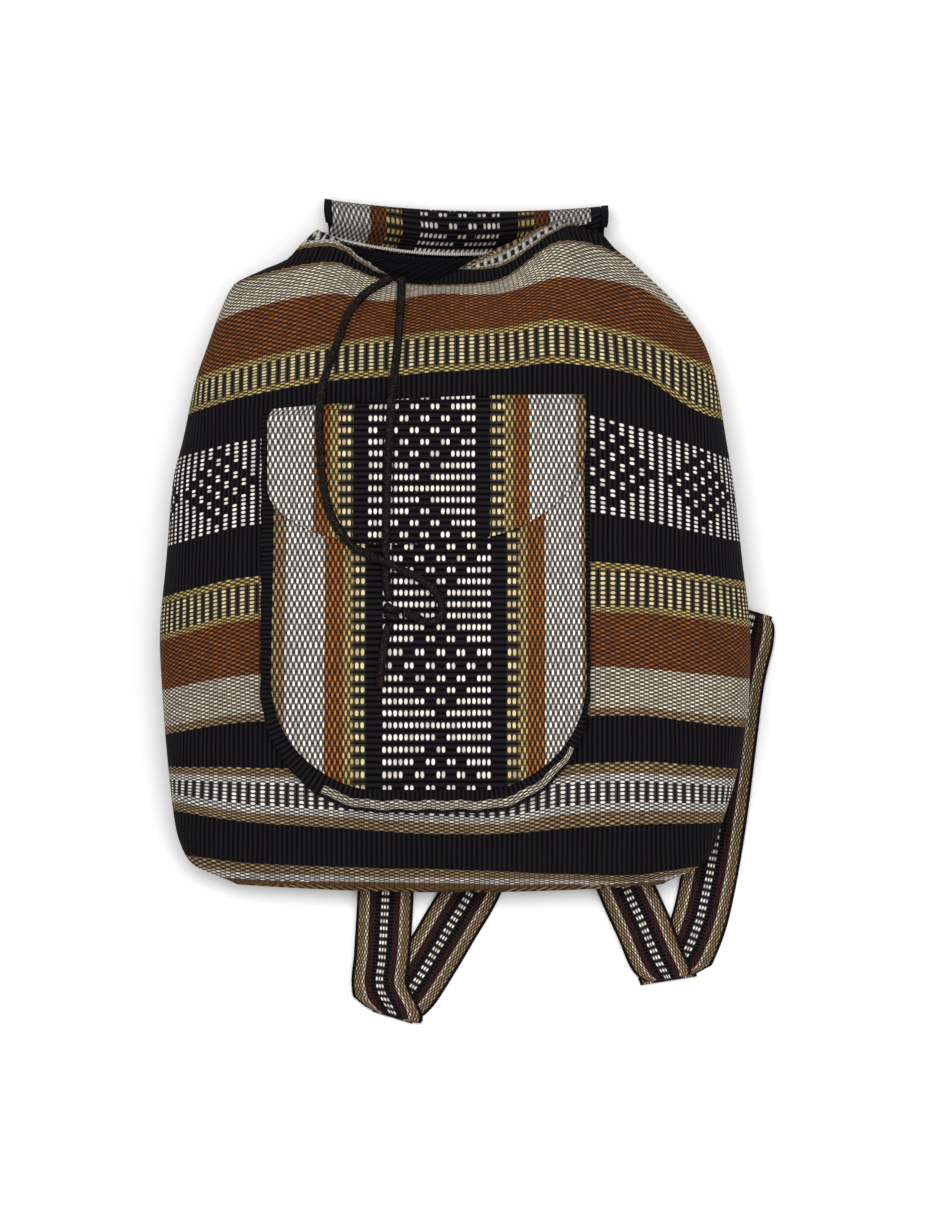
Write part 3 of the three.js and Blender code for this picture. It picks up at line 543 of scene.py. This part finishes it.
# Point of the body's skin, and how far it has come from the side: up to 1 in front and down to -1 at the back
def bodyPoint(along, around):
    cosine, sine = math.cos(around), math.sin(around)
    front = sine >= 0
    power = 2 / (body["frontSquareness"] if front else body["backSquareness"])
    across = math.copysign(abs(cosine) ** power, cosine)
    rise = abs(sine) ** power
    halfWidth = body["width"] * section("right" if cosine >= 0 else "left", along)
    side = sectionHeight("side", along)
    face = sectionHeight("crown" if front else "back", along)
    gathered = smooth((along - body["mouthDipStart"]) / (1 - body["mouthDipStart"]))
    dipShape = math.exp(-(((across - body["mouthDipCentre"]) / body["mouthDipSpread"]) ** 2))
    dip = body["mouthDipFront"] * dipShape * rise if front else body["mouthDipBack"] * (1 - across**2)
    peaks = sum(rise * mm * math.exp(-(((across - at) / spread) ** 2)) for at, spread, rise in rimPeaks)
    dip -= peaks * smooth((along - body["peakStart"]) / (1 - body["peakStart"])) if front else 0
    bow = body["bottomBow"] * across**2 * (1 - smooth(along / body["bowEnd"]))
    seamed = smooth(along / body["seamEnd"])
    relief = bodyRelief(along, across) * rise if front else 0
    return Vector((
        body["axis"] + across * halfWidth,
        body["bottomSeam"] + along * body["length"] - dip * gathered + bow,
        side + ((face - side) * rise + relief) * seamed,
    )), rise if front else -rise


# Shares of the body's length, of its half width and of a panel's height at a place seen from above
def bodyShares(x, y, squareness):
    along = (y - body["bottomSeam"]) / body["length"]
    halfWidth = body["width"] * section("right" if x >= body["axis"] else "left", along)
    across = min(max((x - body["axis"]) / halfWidth, -1), 1)
    return along, across, (1 - abs(across) ** squareness) ** (1 / squareness)


def frontHeight(x, y):
    along, across, rise = bodyShares(x, y, body["frontSquareness"])
    side = sectionHeight("side", along)
    return side + (sectionHeight("crown", along) - side + bodyRelief(along, across)) * rise


def backHeight(x, y):
    along, _, rise = bodyShares(x, y, body["backSquareness"])
    side = sectionHeight("side", along)
    return side + (sectionHeight("back", along) - side) * rise


def overFront(x, y, stand):
    z = frontHeight(x, y)
    slope = Vector((z - frontHeight(x + mm, y), z - frontHeight(x, y + mm), mm)).normalized()
    return Vector((x, y, z)) + slope * stand


# Distance in metres from the diamond's middle of the band at a place of the body, which is given in mm. The
# back takes its bands from straight lines between the two sides.
def bandAt(x, y, left, right, front):
    def rowHeight(row, place):
        index = 0
        while index < len(bandColumns) - 2 and bandColumns[index + 1] < place:
            index += 1
        share = (place - bandColumns[index]) / (bandColumns[index + 1] - bandColumns[index])
        return curvePoint(row[1:], (index + min(max(share, 0), 1)) / (len(bandColumns) - 1))

    last = None
    for row in bandPlaces:
        if front:
            height = rowHeight(row, x)
        else:
            height = mix(rowHeight(row, left), rowHeight(row, right), (x - left) / (right - left))
        if height >= y:
            band = mix(last[0], row[0], (y - last[1]) / max(height - last[1], 0.1)) if last else row[0]
            fromSide = min(x - left, right - x) / (right - left)
            inMiddle = smooth(fromSide / backBands["side"])
            raised = backBands["raise"] * smooth((y - backBands["from"]) / backBands["over"]) * inMiddle
            return (band if front else min(band + raised, backBands["last"])) * mm
        last = (row[0], height)
    return (last[0] - 0.5 if front else backBands["last"]) * mm


def makeBody():
    columns, rows = body["columns"], body["rows"]
    points, measures = {}, {}
    for r in range(rows + 1):
        along = r / rows
        line = []
        for c in range(columns + 1):
            around = -math.pi / 2 + 2 * math.pi * c / columns
            point, front = bodyPoint(along, around)
            x, y = point.x / mm, point.y / mm
            if front > 0:
                rumple = sum(noise.noise(point * scale) * height for scale, height in body["rumples"])
                point.z += rumple * mm * front * smooth(along / body["rumpleEnd"])
            ripple = smooth((along - body["rippleStart"]) / (1 - body["rippleStart"]))
            swing = math.sin(around * body["ripples"] + 3 * noise.noise(point * 30))
            hem = math.sin(math.pi * min(max((along - body["hemStart"]) / (1 - body["hemStart"]), 0), 1))
            outward = Vector((math.cos(around), 0, math.sin(around)))
            point += outward * (ripple * swing * body["rippleHeight"] + hem * body["hemHeight"])
            line.append((point, front, x, y))
        middle = columns // 2
        lengths = [0] * (columns + 1)
        for c in range(middle + 1, columns + 1):
            lengths[c] = lengths[c - 1] - (line[c][0] - line[c - 1][0]).length
        for c in range(middle - 1, -1, -1):
            lengths[c] = lengths[c + 1] + (line[c][0] - line[c + 1][0]).length
        left = (body["axis"] - body["width"] * section("left", along)) / mm
        right = (body["axis"] + body["width"] * section("right", along)) / mm
        for c, (point, front, x, y) in enumerate(line):
            points[c, r] = point
            measures[c, r] = (lengths[c], bandAt(x, y, left, right, front >= 0))

    piece = tablePiece("bagBody", columns, rows, points, measures, closed=True)
    finishPiece(piece, bodyCloth, "bag_body", body["wall"], -1)
    return piece


bagBody = makeBody()
print("stage: bag body")


# Pocket with its side band and flap
pocket = {
    "width": 187 * mm, "length": 222 * mm, "axis": -24 * mm, "foot": body["bottomSeam"] + 73 * mm,
    "corner": 62 * mm, "standTop": 5.5 * mm, "standBottom": 17 * mm, "thickness": 1.8 * mm, "gap": 0.65 * mm,
    "edgeDrop": 1.2 * mm, "rumple": 1.0 * mm, "rumpleScale": 30,
    "pattern": -18.5 * mm, "patternLeft": 0.96, "patternRight": 1.02, "columns": 110, "rows": 130,
}
cover = {
    "width": 190 * mm, "axis": -25 * mm, "length": 89 * mm, "left": 50 * mm, "right": 33 * mm,
    "seam": 12 * mm, "drop": 9 * mm, "endPower": 2.6, "cornerPower": 0.6,
    "swell": 0.5 * mm, "rumple": 1.1 * mm, "rumpleScale": 26, "pattern": -28.4 * mm, "rows": 70,
}
gusset = {
    "spread": 8 * mm, "footSpread": 9 * mm, "tuckedRight": 5 * mm, "thickness": 1.6 * mm,
    "profile": [(-0.4, 1.0), (0, 1.0), (0.6, 0.8), (1, 0.4), (1, 0)],  # outward, height
    "pucker": 0.5 * mm, "puckerStep": 0.9, "clothDepth": 40 * mm, "columns": 24, "steps": 220,
}
pocket["head"] = pocket["foot"] + pocket["length"]


def pocketStand(y):
    return mix(pocket["standTop"], pocket["standBottom"], smooth((pocket["head"] - y) / pocket["length"]))


def pocketHalfWidth(y):
    above = min(y - pocket["foot"] - pocket["corner"], 0)
    return pocket["width"] / 2 - pocket["corner"] + math.sqrt(max(pocket["corner"] ** 2 - above**2, 0))


# Rows close up toward the round foot
def pocketHeight(v):
    straight = pocket["length"] - pocket["corner"]
    if v < 0.6:
        return pocket["head"] - straight * v / 0.6
    return pocket["foot"] + pocket["corner"] * (1 - math.sin(math.pi / 2 * (v - 0.6) / 0.4))


def makePocketFront():
    def place(u, v):
        y = pocketHeight(v)
        share = 2 * u - 1
        x = pocket["axis"] + pocketHalfWidth(y) * share
        edge = max(abs(share), 1 - (y - pocket["foot"]) / (0.12 * pocket["length"]))
        crown = -pocket["edgeDrop"] * smooth((edge - 0.86) / 0.14)
        rumple = noise.noise(Vector((x, y, 0.3)) * pocket["rumpleScale"]) * pocket["rumple"]
        return overFront(x, y, pocketStand(y) + pocket["thickness"] / 2 + crown + rumple)

    def cloth(u, v):
        y = pocketHeight(v)
        away = pocket["axis"] + pocketHalfWidth(y) * (2 * u - 1) - pocket["pattern"]
        return y, away * pocket["patternLeft" if away < 0 else "patternRight"]

    piece = gridPiece("pocketFront", pocket["columns"], pocket["rows"], place, cloth)
    finishPiece(piece, pocketCloth, "pocket_front", pocket["thickness"])
    return piece


def makePocketFlap():
    def spot(u, v):
        column = 2 * u - 1
        seam = pocket["head"] + cover["seam"] - cover["drop"] * (1 - u) ** 2
        side = mix(cover["left"], cover["right"], u)
        length = mix(side, cover["length"], (1 - abs(column) ** cover["endPower"]) ** cover["cornerPower"])
        return cover["axis"] + cover["width"] / 2 * column, seam - v * length

    def place(u, v):
        x, y = spot(u, v)
        over = pocketStand(min(y, pocket["head"])) + pocket["thickness"] + pocket["gap"]
        lifted = smooth((spot(u, 0)[1] - y) / (cover["seam"] * 0.7))
        rumple = noise.noise(Vector((x, y, 0.7)) * cover["rumpleScale"]) * cover["rumple"] * v
        stand = mix(pocket["gap"], over, lifted) + pocket["thickness"] / 2
        return overFront(x, y, stand + max(cover["swell"] + rumple, 0))

    def cloth(u, v):
        x, y = spot(u, v)
        return y, x - cover["pattern"]

    piece = gridPiece("pocketFlap", pocket["columns"], cover["rows"], place, cloth)
    finishPiece(piece, pocketFlapCloth, "pocket_flap", pocket["thickness"])
    return piece


# Points of the pocket's U with their outward directions and distances, from the left top to the right top
def gussetOutline():
    radius, half = pocket["corner"], pocket["width"] / 2
    straight = pocket["length"] - radius
    flat = pocket["width"] - 2 * radius
    arc = math.pi / 2 * radius
    total = 2 * straight + 2 * arc + flat
    outline = []
    for i in range(gusset["steps"] + 1):
        s = total * i / gusset["steps"]
        if s <= straight:
            x, y, outX, outY = -half, pocket["head"] - s, -1, 0
        elif s <= straight + arc:
            a = (s - straight) / radius
            outX, outY = -math.cos(a), -math.sin(a)
            x, y = -half + radius + radius * outX, pocket["foot"] + radius + radius * outY
        elif s <= straight + arc + flat:
            x, y, outX, outY = -half + radius + s - straight - arc, pocket["foot"], 0, -1
        elif s <= straight + 2 * arc + flat:
            a = (s - straight - arc - flat) / radius
            outX, outY = math.sin(a), -math.cos(a)
            x, y = half - radius + radius * outX, pocket["foot"] + radius + radius * outY
        else:
            x, y, outX, outY = half, pocket["foot"] + radius + s - straight - 2 * arc - flat, 1, 0
        outline.append((x, y, outX, outY, s))
    return outline


def makePocketGusset():
    steps = gusset["steps"]
    outline = gussetOutline()

    def place(u, v):
        x, y, outX, outY, _ = outline[round(v * steps)]
        head = pocketStand(y) - pocket["gap"] - gusset["thickness"] / 2
        seat = pocket["gap"] + gusset["thickness"] * 0.75
        spread = gusset["spread"] + gusset["footSpread"] * max(-outY, 0) ** 1.5
        spread -= gusset["tuckedRight"] * max(outX, 0) ** 2
        knots = [Vector((reach * spread, mix(seat, head, rise), 0)) for reach, rise in gusset["profile"]]
        reach, stand, _ = curvePoint(knots, u)
        pucker = gusset["pucker"] * math.sin(v * steps * gusset["puckerStep"]) * math.sin(math.pi * u)
        px = pocket["axis"] + x + outX * (reach + pucker)
        py = y + outY * (reach + pucker)
        return overFront(px, py, stand)

    def cloth(u, v):
        return outline[round(v * steps)][4], (u - 0.5) * gusset["clothDepth"]

    piece = gridPiece("pocketGusset", gusset["columns"], steps, place, cloth)
    finishPiece(piece, gussetCloth, "pocket_gusset", gusset["thickness"])
    return piece


pocketFront = makePocketFront()
pocketGusset = makePocketGusset()
pocketFlap = makePocketFlap()
print("stage: pocket")


# Straps
strap = {
    "width": 35 * mm, "thickness": 1.8 * mm, "layer": 2.1 * mm, "frontGap": 0.65 * mm, "turn": 35 * mm,
    "cornerLength": 22 * mm, "cornerDepth": 5.5 * mm, "edgeDrop": 0.25 * mm, "skin": 0.9, "foldSpread": 1.1,
    "rowStep": 2.5 * mm, "columns": 14, "foldSteps": 8,
}
leftStrapRoute = [
    # across, along, layers beneath or None where sewn, and at a flat fold its edge's direction
    (-0.063, 0.901, None), (-0.043, 0.72, 1.45), (0.001, 0.52, 1.45),
    (0.026, 0.42, 0.2), (0.048, 0.3, 0), (0.06, 0.14, 0), (0.037, 0.027, 0), (-0.0155, -0.059, 0),
    (-0.069, -0.138, 0), (-0.109, -0.189, 0, -17), (-0.131, -0.145, 1.1), (-0.128, -0.1, 1.1),
    (-0.1225, -0.017, 1.5), (-0.12, 0.036, None),
]
rightStrapRoute = [
    (0.055, 0.901, None), (0.166, 0.71, 1.45), (0.276, 0.52, 1.45), (0.346, 0.41, 0.3),
    (0.43, 0.286, 0, 4), (0.466, 0.354, 1.1), (0.504, 0.424, 1.1, -17), (0.4925, 0.384, 2.2),
    (0.477, 0.325, 2.2), (0.4635, 0.233, 2.2), (0.4445, 0.1, 0.9), (0.4265, 0.006, 0),
    (0.4115, -0.05, 0), (0.3895, -0.096, 0), (0.36, -0.1325, 0, 9), (0.341, -0.104, 1.1),
    (0.32, -0.058, 1.1), (0.295, -0.009, 1.5), (0.275, 0.034, 4.2),
]


# Even points along a smooth curve through the points (centripetal, so that it never loops), and its length
def routePoints(points, step, finePoints=24):
    ends = [points[0] * 2 - points[1], *points, points[-1] * 2 - points[-2]]
    fine = []
    for i in range(1, len(ends) - 2):
        a, b, c, d = ends[i - 1:i + 3]
        ta, tb = 0, math.sqrt((b - a).length)
        tc = tb + math.sqrt((c - b).length)
        td = tc + math.sqrt((d - c).length)
        for k in range(finePoints):
            t = mix(tb, tc, k / finePoints)
            ab = a * ((tb - t) / (tb - ta)) + b * ((t - ta) / (tb - ta))
            bc = b * ((tc - t) / (tc - tb)) + c * ((t - tb) / (tc - tb))
            cd = c * ((td - t) / (td - tc)) + d * ((t - tc) / (td - tc))
            abc = ab * ((tc - t) / (tc - ta)) + bc * ((t - ta) / (tc - ta))
            bcd = bc * ((td - t) / (td - tb)) + cd * ((t - tb) / (td - tb))
            fine.append(abc * ((tc - t) / (tc - tb)) + bcd * ((t - tb) / (tc - tb)))
    fine.append(points[-1].copy())
    lengths = [0]
    for a, b in zip(fine, fine[1:]):
        lengths.append(lengths[-1] + (b - a).length)
    count = max(round(lengths[-1] / step), 4)
    even, index = [], 0
    for k in range(count + 1):
        goal = lengths[-1] * k / count
        while index < len(fine) - 2 and lengths[index + 1] < goal:
            index += 1
        span = max(lengths[index + 1] - lengths[index], 1e-9)
        even.append(fine[index].lerp(fine[index + 1], (goal - lengths[index]) / span))
    return even, lengths[-1]


# Points down a strap's middle, each with the direction of its flat fold's edge
def strapStations(route):
    stations = []
    for across, along, layer, *fold in route:
        x = body["axis"] + across * body["width"]
        y = body["bottomSeam"] + along * body["length"]
        sewn = layer is None
        z = backHeight(x, y) - strap["frontGap"] - strap["thickness"] if sewn else layer * strap["layer"]
        stations.append((Vector((x, y, z + strap["thickness"] / 2)), fold[0] if fold else None))
    return stations


# Rows of (left edge, right edge, distance along the strap), turned over at each flat fold
def strapRows(route):
    stations = strapStations(route)
    rows, walked, side, start, opening = [], 0, 1, 0, None
    for i in range(1, len(stations)):
        fold = stations[i][1]
        if fold is None and i < len(stations) - 1:
            continue
        points = [point.copy() for point, _ in stations[start:i + 1]]
        if start > 0:
            points[0].z = points[1].z
        even, length = routePoints(points, strap["rowStep"])
        for k, middle in enumerate(even):
            heading = even[min(k + 1, len(even) - 1)] - even[max(k - 1, 0)]
            heading.z = 0
            heading.normalize()
            square = Vector((-heading.y, heading.x, 0)) * side
            ruling = square.copy()
            distance = length * k / (len(even) - 1)
            folds = [(opening, distance), (fold, length - distance)]
            folds = [(angle, reach) for angle, reach in folds if angle is not None]
            for angle, reach in folds:
                if reach < strap["turn"]:
                    edge = Vector((math.cos(math.radians(angle)), math.sin(math.radians(angle)), 0))
                    edge *= math.copysign(1, edge.dot(square))
                    ruling = edge.lerp(square, smooth(reach / strap["turn"])).normalized()
            nearest = min((reach for _, reach in folds), default=1)
            beside = min(max(1 - nearest / strap["cornerLength"], 0), 1)
            rounded = strap["cornerDepth"] * (1 - math.sqrt(1 - beside**2))
            half = strap["width"] / 2 / max(ruling.dot(square), 0.75) - rounded
            rows.append((middle - ruling * half, middle + ruling * half, walked + distance))
        walked += length
        if fold is not None:
            left, right, _ = rows[-1]
            edge = right - left
            edge.z = 0
            edge.normalize()
            outward = Vector((-edge.y, edge.x, 0))
            outward *= math.copysign(1, outward.dot(heading))
            radius = strap["foldSpread"] * strap["layer"] / 2
            for k in range(1, strap["foldSteps"]):
                turn = math.pi * k / strap["foldSteps"]
                shift = outward * (radius * math.sin(turn)) + Vector((0, 0, radius * (1 - math.cos(turn))))
                rows.append((left + shift, right + shift, walked + radius * turn))
            walked += radius * math.pi
            side = -side
        start, opening = i, fold
    return rows, walked


def makeStrap(name, route, node):
    rows, length = strapRows(route)
    count = len(rows) - 1

    def place(u, v):
        left, right, _ = rows[round(v * count)]
        point = left.lerp(right, u)
        edge = abs(2 * u - 1)
        point.z -= strap["edgeDrop"] * smooth((edge - 0.8) / 0.2)
        return point

    def cloth(u, v):
        return rows[round(v * count)][2], (u - 0.5) * strap["width"]

    piece = gridPiece(name, strap["columns"], count, place, cloth)
    finishPiece(piece, strapCloth, node, strap["thickness"] * strap["skin"])
    print(name, "length", round(length, 3))
    return piece, length


leftStrap, leftLength = makeStrap("strapLeft", leftStrapRoute, "strap_left")
rightStrap, rightLength = makeStrap("strapRight", rightStrapRoute, "strap_right")
print("stage: straps")


# Top flap and its dark edging
flap = {
    "width": 167.2 * mm, "axis": -1.7 * mm, "sag": 4.2 * mm, "tilt": 3.4 * mm, "pattern": -5.6 * mm,
    "stripeAndShadeFrom": 62 * mm, "stripeAndShadeUpTo": 16 * mm, "darkCloth": 100 * mm,  # the corner by the seam drawn black: partly the black edge stripe, partly painted shade
    "tuck": 186 * mm, "thickness": 1.8 * mm, "rise": 19 * mm, "endRadius": 52 * mm, "hiddenWidth": 0.97,
    "straightParts": (0, 0.3, 0.55, 0.72), "roundParts": (0, 0.3, 0.55, 0.75, 0.9, 1), "roundness": 0.97,
    "bindingWidth": 4.5 * mm, "bindingThickness": 2.4 * mm, "gap": 0.3 * mm, "seam": 0.94,
    "seamRise": 1.1 * mm, "columns": 96, "bindingColumns": 6, "rowsBetween": 6,
}
flapCrest = [
    # beyond, height, width, leave
    (0.1, 3.2, 0.97, 0.2), (0.45, 4.4, 0.99, 0.6), (0.8, 4.6, 1, 0.9), (1.04, 3.9, 1, 1), (1.15, 2.7, 1, 1),
    (1.1, 1.4, 1, 1), (0.88, 0.45, 0.99, 1), (0.55, 0.12, 0.98, 1),
]


# Points down one lengthwise line of the flap, from the mouth's edge to the rounded end
def flapKnots(share):
    across = share * flap["seam"]
    angle = math.acos(math.copysign(abs(across) ** (body["backSquareness"] / 2), across))
    edge, _ = bodyPoint(1, 2 * math.pi - angle)
    seam = Vector((edge.x, edge.y + flap["gap"] + flap["thickness"] / 2, edge.z + flap["seamRise"]))
    mouthSide = body["bottomSeam"] + body["length"]
    drop = flap["sag"] * (1 - share**2) + flap["tilt"] * (1 + share) / 2
    knots = [seam]
    for beyond, height, width, leave in flapCrest:
        free = flap["axis"] + flap["width"] / 2 * width * share
        knots.append(Vector((
            mix(seam.x, free, smooth(leave * 1.6)),
            mix(seam.y, mouthSide, leave) + (flap["rise"] - drop) * beyond,
            mix(seam.z, flap["thickness"] / 2 + height * body["rest"], smooth(leave * 1.4)),
        )))
    straight = flap["tuck"] - flap["endRadius"]
    floorZ = flap["bindingThickness"] / 2
    half = flap["width"] / 2 * flap["hiddenWidth"]
    for part in flap["straightParts"]:
        knots.append(Vector((flap["axis"] + half * share, mouthSide - part * straight, floorZ)))
    for part in flap["roundParts"]:
        rounding = 1 - math.sqrt(1 - (part * flap["roundness"]) ** 2)
        width = 1 - rounding * 2 * flap["endRadius"] / flap["width"]
        y = mouthSide - straight - part * flap["endRadius"]
        knots.append(Vector((flap["axis"] + half * width * share, y, floorZ)))
    return knots


def makeFlap():
    columns = flap["columns"]
    lines = [flapKnots(2 * c / columns - 1) for c in range(columns + 1)]
    rows = (len(lines[0]) - 1) * flap["rowsBetween"]
    points, measures = {}, {}
    for c, knots in enumerate(lines):
        walked = 0
        for r in range(rows + 1):
            points[c, r] = curvePoint(knots, r / rows)
            walked += (points[c, r] - points[c, r - 1]).length if r else 0
            across = flap["width"] / 2 * (2 * c / columns - 1) + flap["axis"] - flap["pattern"]
            # The corner by the seam takes the black edge band: partly the edge stripe, partly painted shade
            if across > flap["stripeAndShadeFrom"] and walked < flap["stripeAndShadeUpTo"]:
                across = flap["darkCloth"]
            measures[c, r] = (walked, across)
    piece = tablePiece("mouthFlap", columns, rows, points, measures)
    finishPiece(piece, flapCloth, "mouth_flap", flap["thickness"])
    return piece, makeBinding(points, columns, rows)


# Dark edging, out along the flap's open edge from the crest's second row
def makeBinding(points, columns, rows):
    first = 2 * flap["rowsBetween"]
    edge = [(0, r) for r in range(first, rows)]
    edge += [(c, rows) for c in range(columns + 1)]
    edge += [(columns, r) for r in range(rows - 1, first - 1, -1)]
    count = len(edge) - 1

    def place(u, v):
        i = round(v * count)
        c, r = edge[i]
        before, after = points[edge[max(i - 1, 0)]], points[edge[min(i + 1, count)]]
        across = points[min(c + 1, columns), r] - points[max(c - 1, 0), r]
        along = points[c, min(r + 1, rows)] - points[c, max(r - 1, 0)]
        outward = -(after - before).cross(across.cross(along)).normalized()
        return points[c, r] + outward * (flap["gap"] + flap["bindingWidth"] * u)

    def cloth(u, v):
        return v * count * 3 * mm, (u + 0.5) * 14 * mm

    piece = gridPiece("flapBinding", flap["bindingColumns"], count, place, cloth)
    finishPiece(piece, darkCloth, "flap_binding", flap["bindingThickness"])
    return piece


mouthFlap, flapBinding = makeFlap()
print("stage: top flap")


# Drawcords and knot
cord = {
    "diameter": 5 * mm, "sides": 20, "step": 0.7 * mm, "braidPitch": 7 * mm, "braidDepth": 0.28 * mm,
    "endSteps": 3, "endShare": 0.04, "color": (0.0062, 0.0042, 0.0042), "roughness": 0.6, "specular": 0.06,
    "toneScale": 700, "glintScale": 750, "glintSize": 0.3, "glint": 5,
}
knot = {
    "place": (-47, -1.2, 143), "turns": 1.75, "steps": 36, "halfWidth": 3.2, "length": 8, "halfHeight": 2.2,
    "offset": (-4, -0.3), "radius": 2.3 * mm,  # place, sizes and offset in mm
}
# Routes in mm
leftCordRoute = [
    (-48, 205, 66.8), (-54.5, 201.5, 70.6), (-64.5, 194.7, 76.6), (-74, 182.9, 87.6), (-79.5, 168, 98.8),
    (-86, 150, 110.3), (-90.3, 134, 119.6), (-91.4, 118, 126), (-90.8, 98, 129.4), (-89.3, 78, 132.8),
    (-83.1, 55.8, 136), (-71.9, 40, 137.8), (-62, 34, 140.5), (-51, 29.6, 145), (-40, 24, 142.8),
    (-30, 19, 141), (-21, 11.5, 141.6), (-16.7, 3, 142), (-18.4, -5, 142.4), (-26, -7, 142.4),
    (-34.5, -3.2, 142), (-41, -1.6, 142),
]
rightCordRoute = [
    (-41.5, 205.5, 66.6), (-41.8, 197, 71.2), (-42.6, 180, 87.6), (-43.8, 163, 103.2), (-45.6, 146, 115.2),
    (-47.2, 131, 124.9), (-48.2, 116, 131.3), (-49, 99.2, 134.4), (-50, 78, 137), (-50.5, 58, 138.8),
    (-50.8, 42, 139), (-50.8, 29.6, 139.2), (-50.2, 17, 140), (-48.8, 6, 141.4),
]
tailCordRoute = [(-48.6, -8.2, 141.8), (-51.2, -18.6, 142), (-53.3, -34.1, 141), (-54.6, -47.7, 139.6)]


def cordMaterial():
    n = Nodes("cordYarn")
    uv = n.node("ShaderNodeUVMap", uv_map="cloth").outputs["UV"]
    toneAndPaintedLight = n.plus(0.7, n.times(n.noise(uv, cord["toneScale"]), 0.6))
    # Glints: light specks painted into the cord's colour, a painted highlight on the braid
    glints = n.node("ShaderNodeTexVoronoi", feature="F1")
    n.put(glints.inputs["Vector"], uv)
    glints.inputs["Scale"].default_value = cord["glintScale"]
    glint = n.calc("LESS_THAN", glints.outputs["Distance"], cord["glintSize"])
    toneAndPaintedLight = n.plus(toneAndPaintedLight, n.times(glint, cord["glint"]))
    n.put(n.shader.inputs["Base Color"], n.scaled(cord["color"], toneAndPaintedLight))
    n.shader.inputs["Roughness"].default_value = cord["roughness"]
    n.shader.inputs["Specular IOR Level"].default_value = cord["specular"]
    return n.material


cordYarn = cordMaterial()


# Braided cord along a route given in mm, with its points and its length
def tubePiece(name, route, radius, node):
    points, length = routePoints([Vector(point) * mm for point in route], cord["step"])
    count, sides = len(points) - 1, cord["sides"]
    frames = []
    normal = Vector((0, 0, 1))
    for i, point in enumerate(points):
        tangent = (points[min(i + 1, count)] - points[max(i - 1, 0)]).normalized()
        normal = (normal - tangent * normal.dot(tangent)).normalized()
        frames.append((point, normal.copy(), tangent.cross(normal)))

    def place(u, v):
        i = round(v * count)
        point, up, side = frames[i]
        angle = 2 * math.pi * u
        turn = 2 * math.pi * length * v / cord["braidPitch"]
        wave = math.cos(4 * angle + turn) * math.cos(4 * angle - turn)
        fromEnd = max(1 - min(i, count - i) / cord["endSteps"], 0)
        closing = math.sqrt(max(1 - fromEnd**2, cord["endShare"]))
        reach = (radius + cord["braidDepth"] * wave) * closing
        return point + (up * math.cos(angle) + side * math.sin(angle)) * reach

    def cloth(u, v):
        return v * length, u * 2 * math.pi * radius

    piece = gridPiece(name, sides, count, place, cloth, closed=True)
    finishPiece(piece, cordYarn, node)
    return piece, points, length


def makeCord(name, route, node):
    piece, points, length = tubePiece(name, route, cord["diameter"] / 2, node)
    path = [list(point) for point in points[::6]] + [list(points[-1])]
    list(points[0])
    print(name, "length", round(length, 4))
    return piece


# Knot: one short coil of cord across the ends
def makeKnot():
    middleX, middleY, middleZ = knot["place"]
    coil = []
    for k in range(knot["steps"] + 1):
        share = k / knot["steps"]
        angle = 2 * math.pi * knot["turns"] * share
        coil.append((
            middleX + knot["halfWidth"] * math.cos(angle),
            middleY + knot["offset"][0] + knot["length"] * share,
            middleZ + knot["offset"][1] + knot["halfHeight"] * math.sin(angle),
        ))
    piece, _, _ = tubePiece("cordKnot", coil, knot["radius"], "drawcord_knot")
    return piece


knotPiece = makeKnot()
makeCord("cordLeft", leftCordRoute, "drawcord_left")
makeCord("cordRight", rightCordRoute, "drawcord_right")
makeCord("cordTail", tailCordRoute, "drawcord_tail")
print("stage: drawcords")
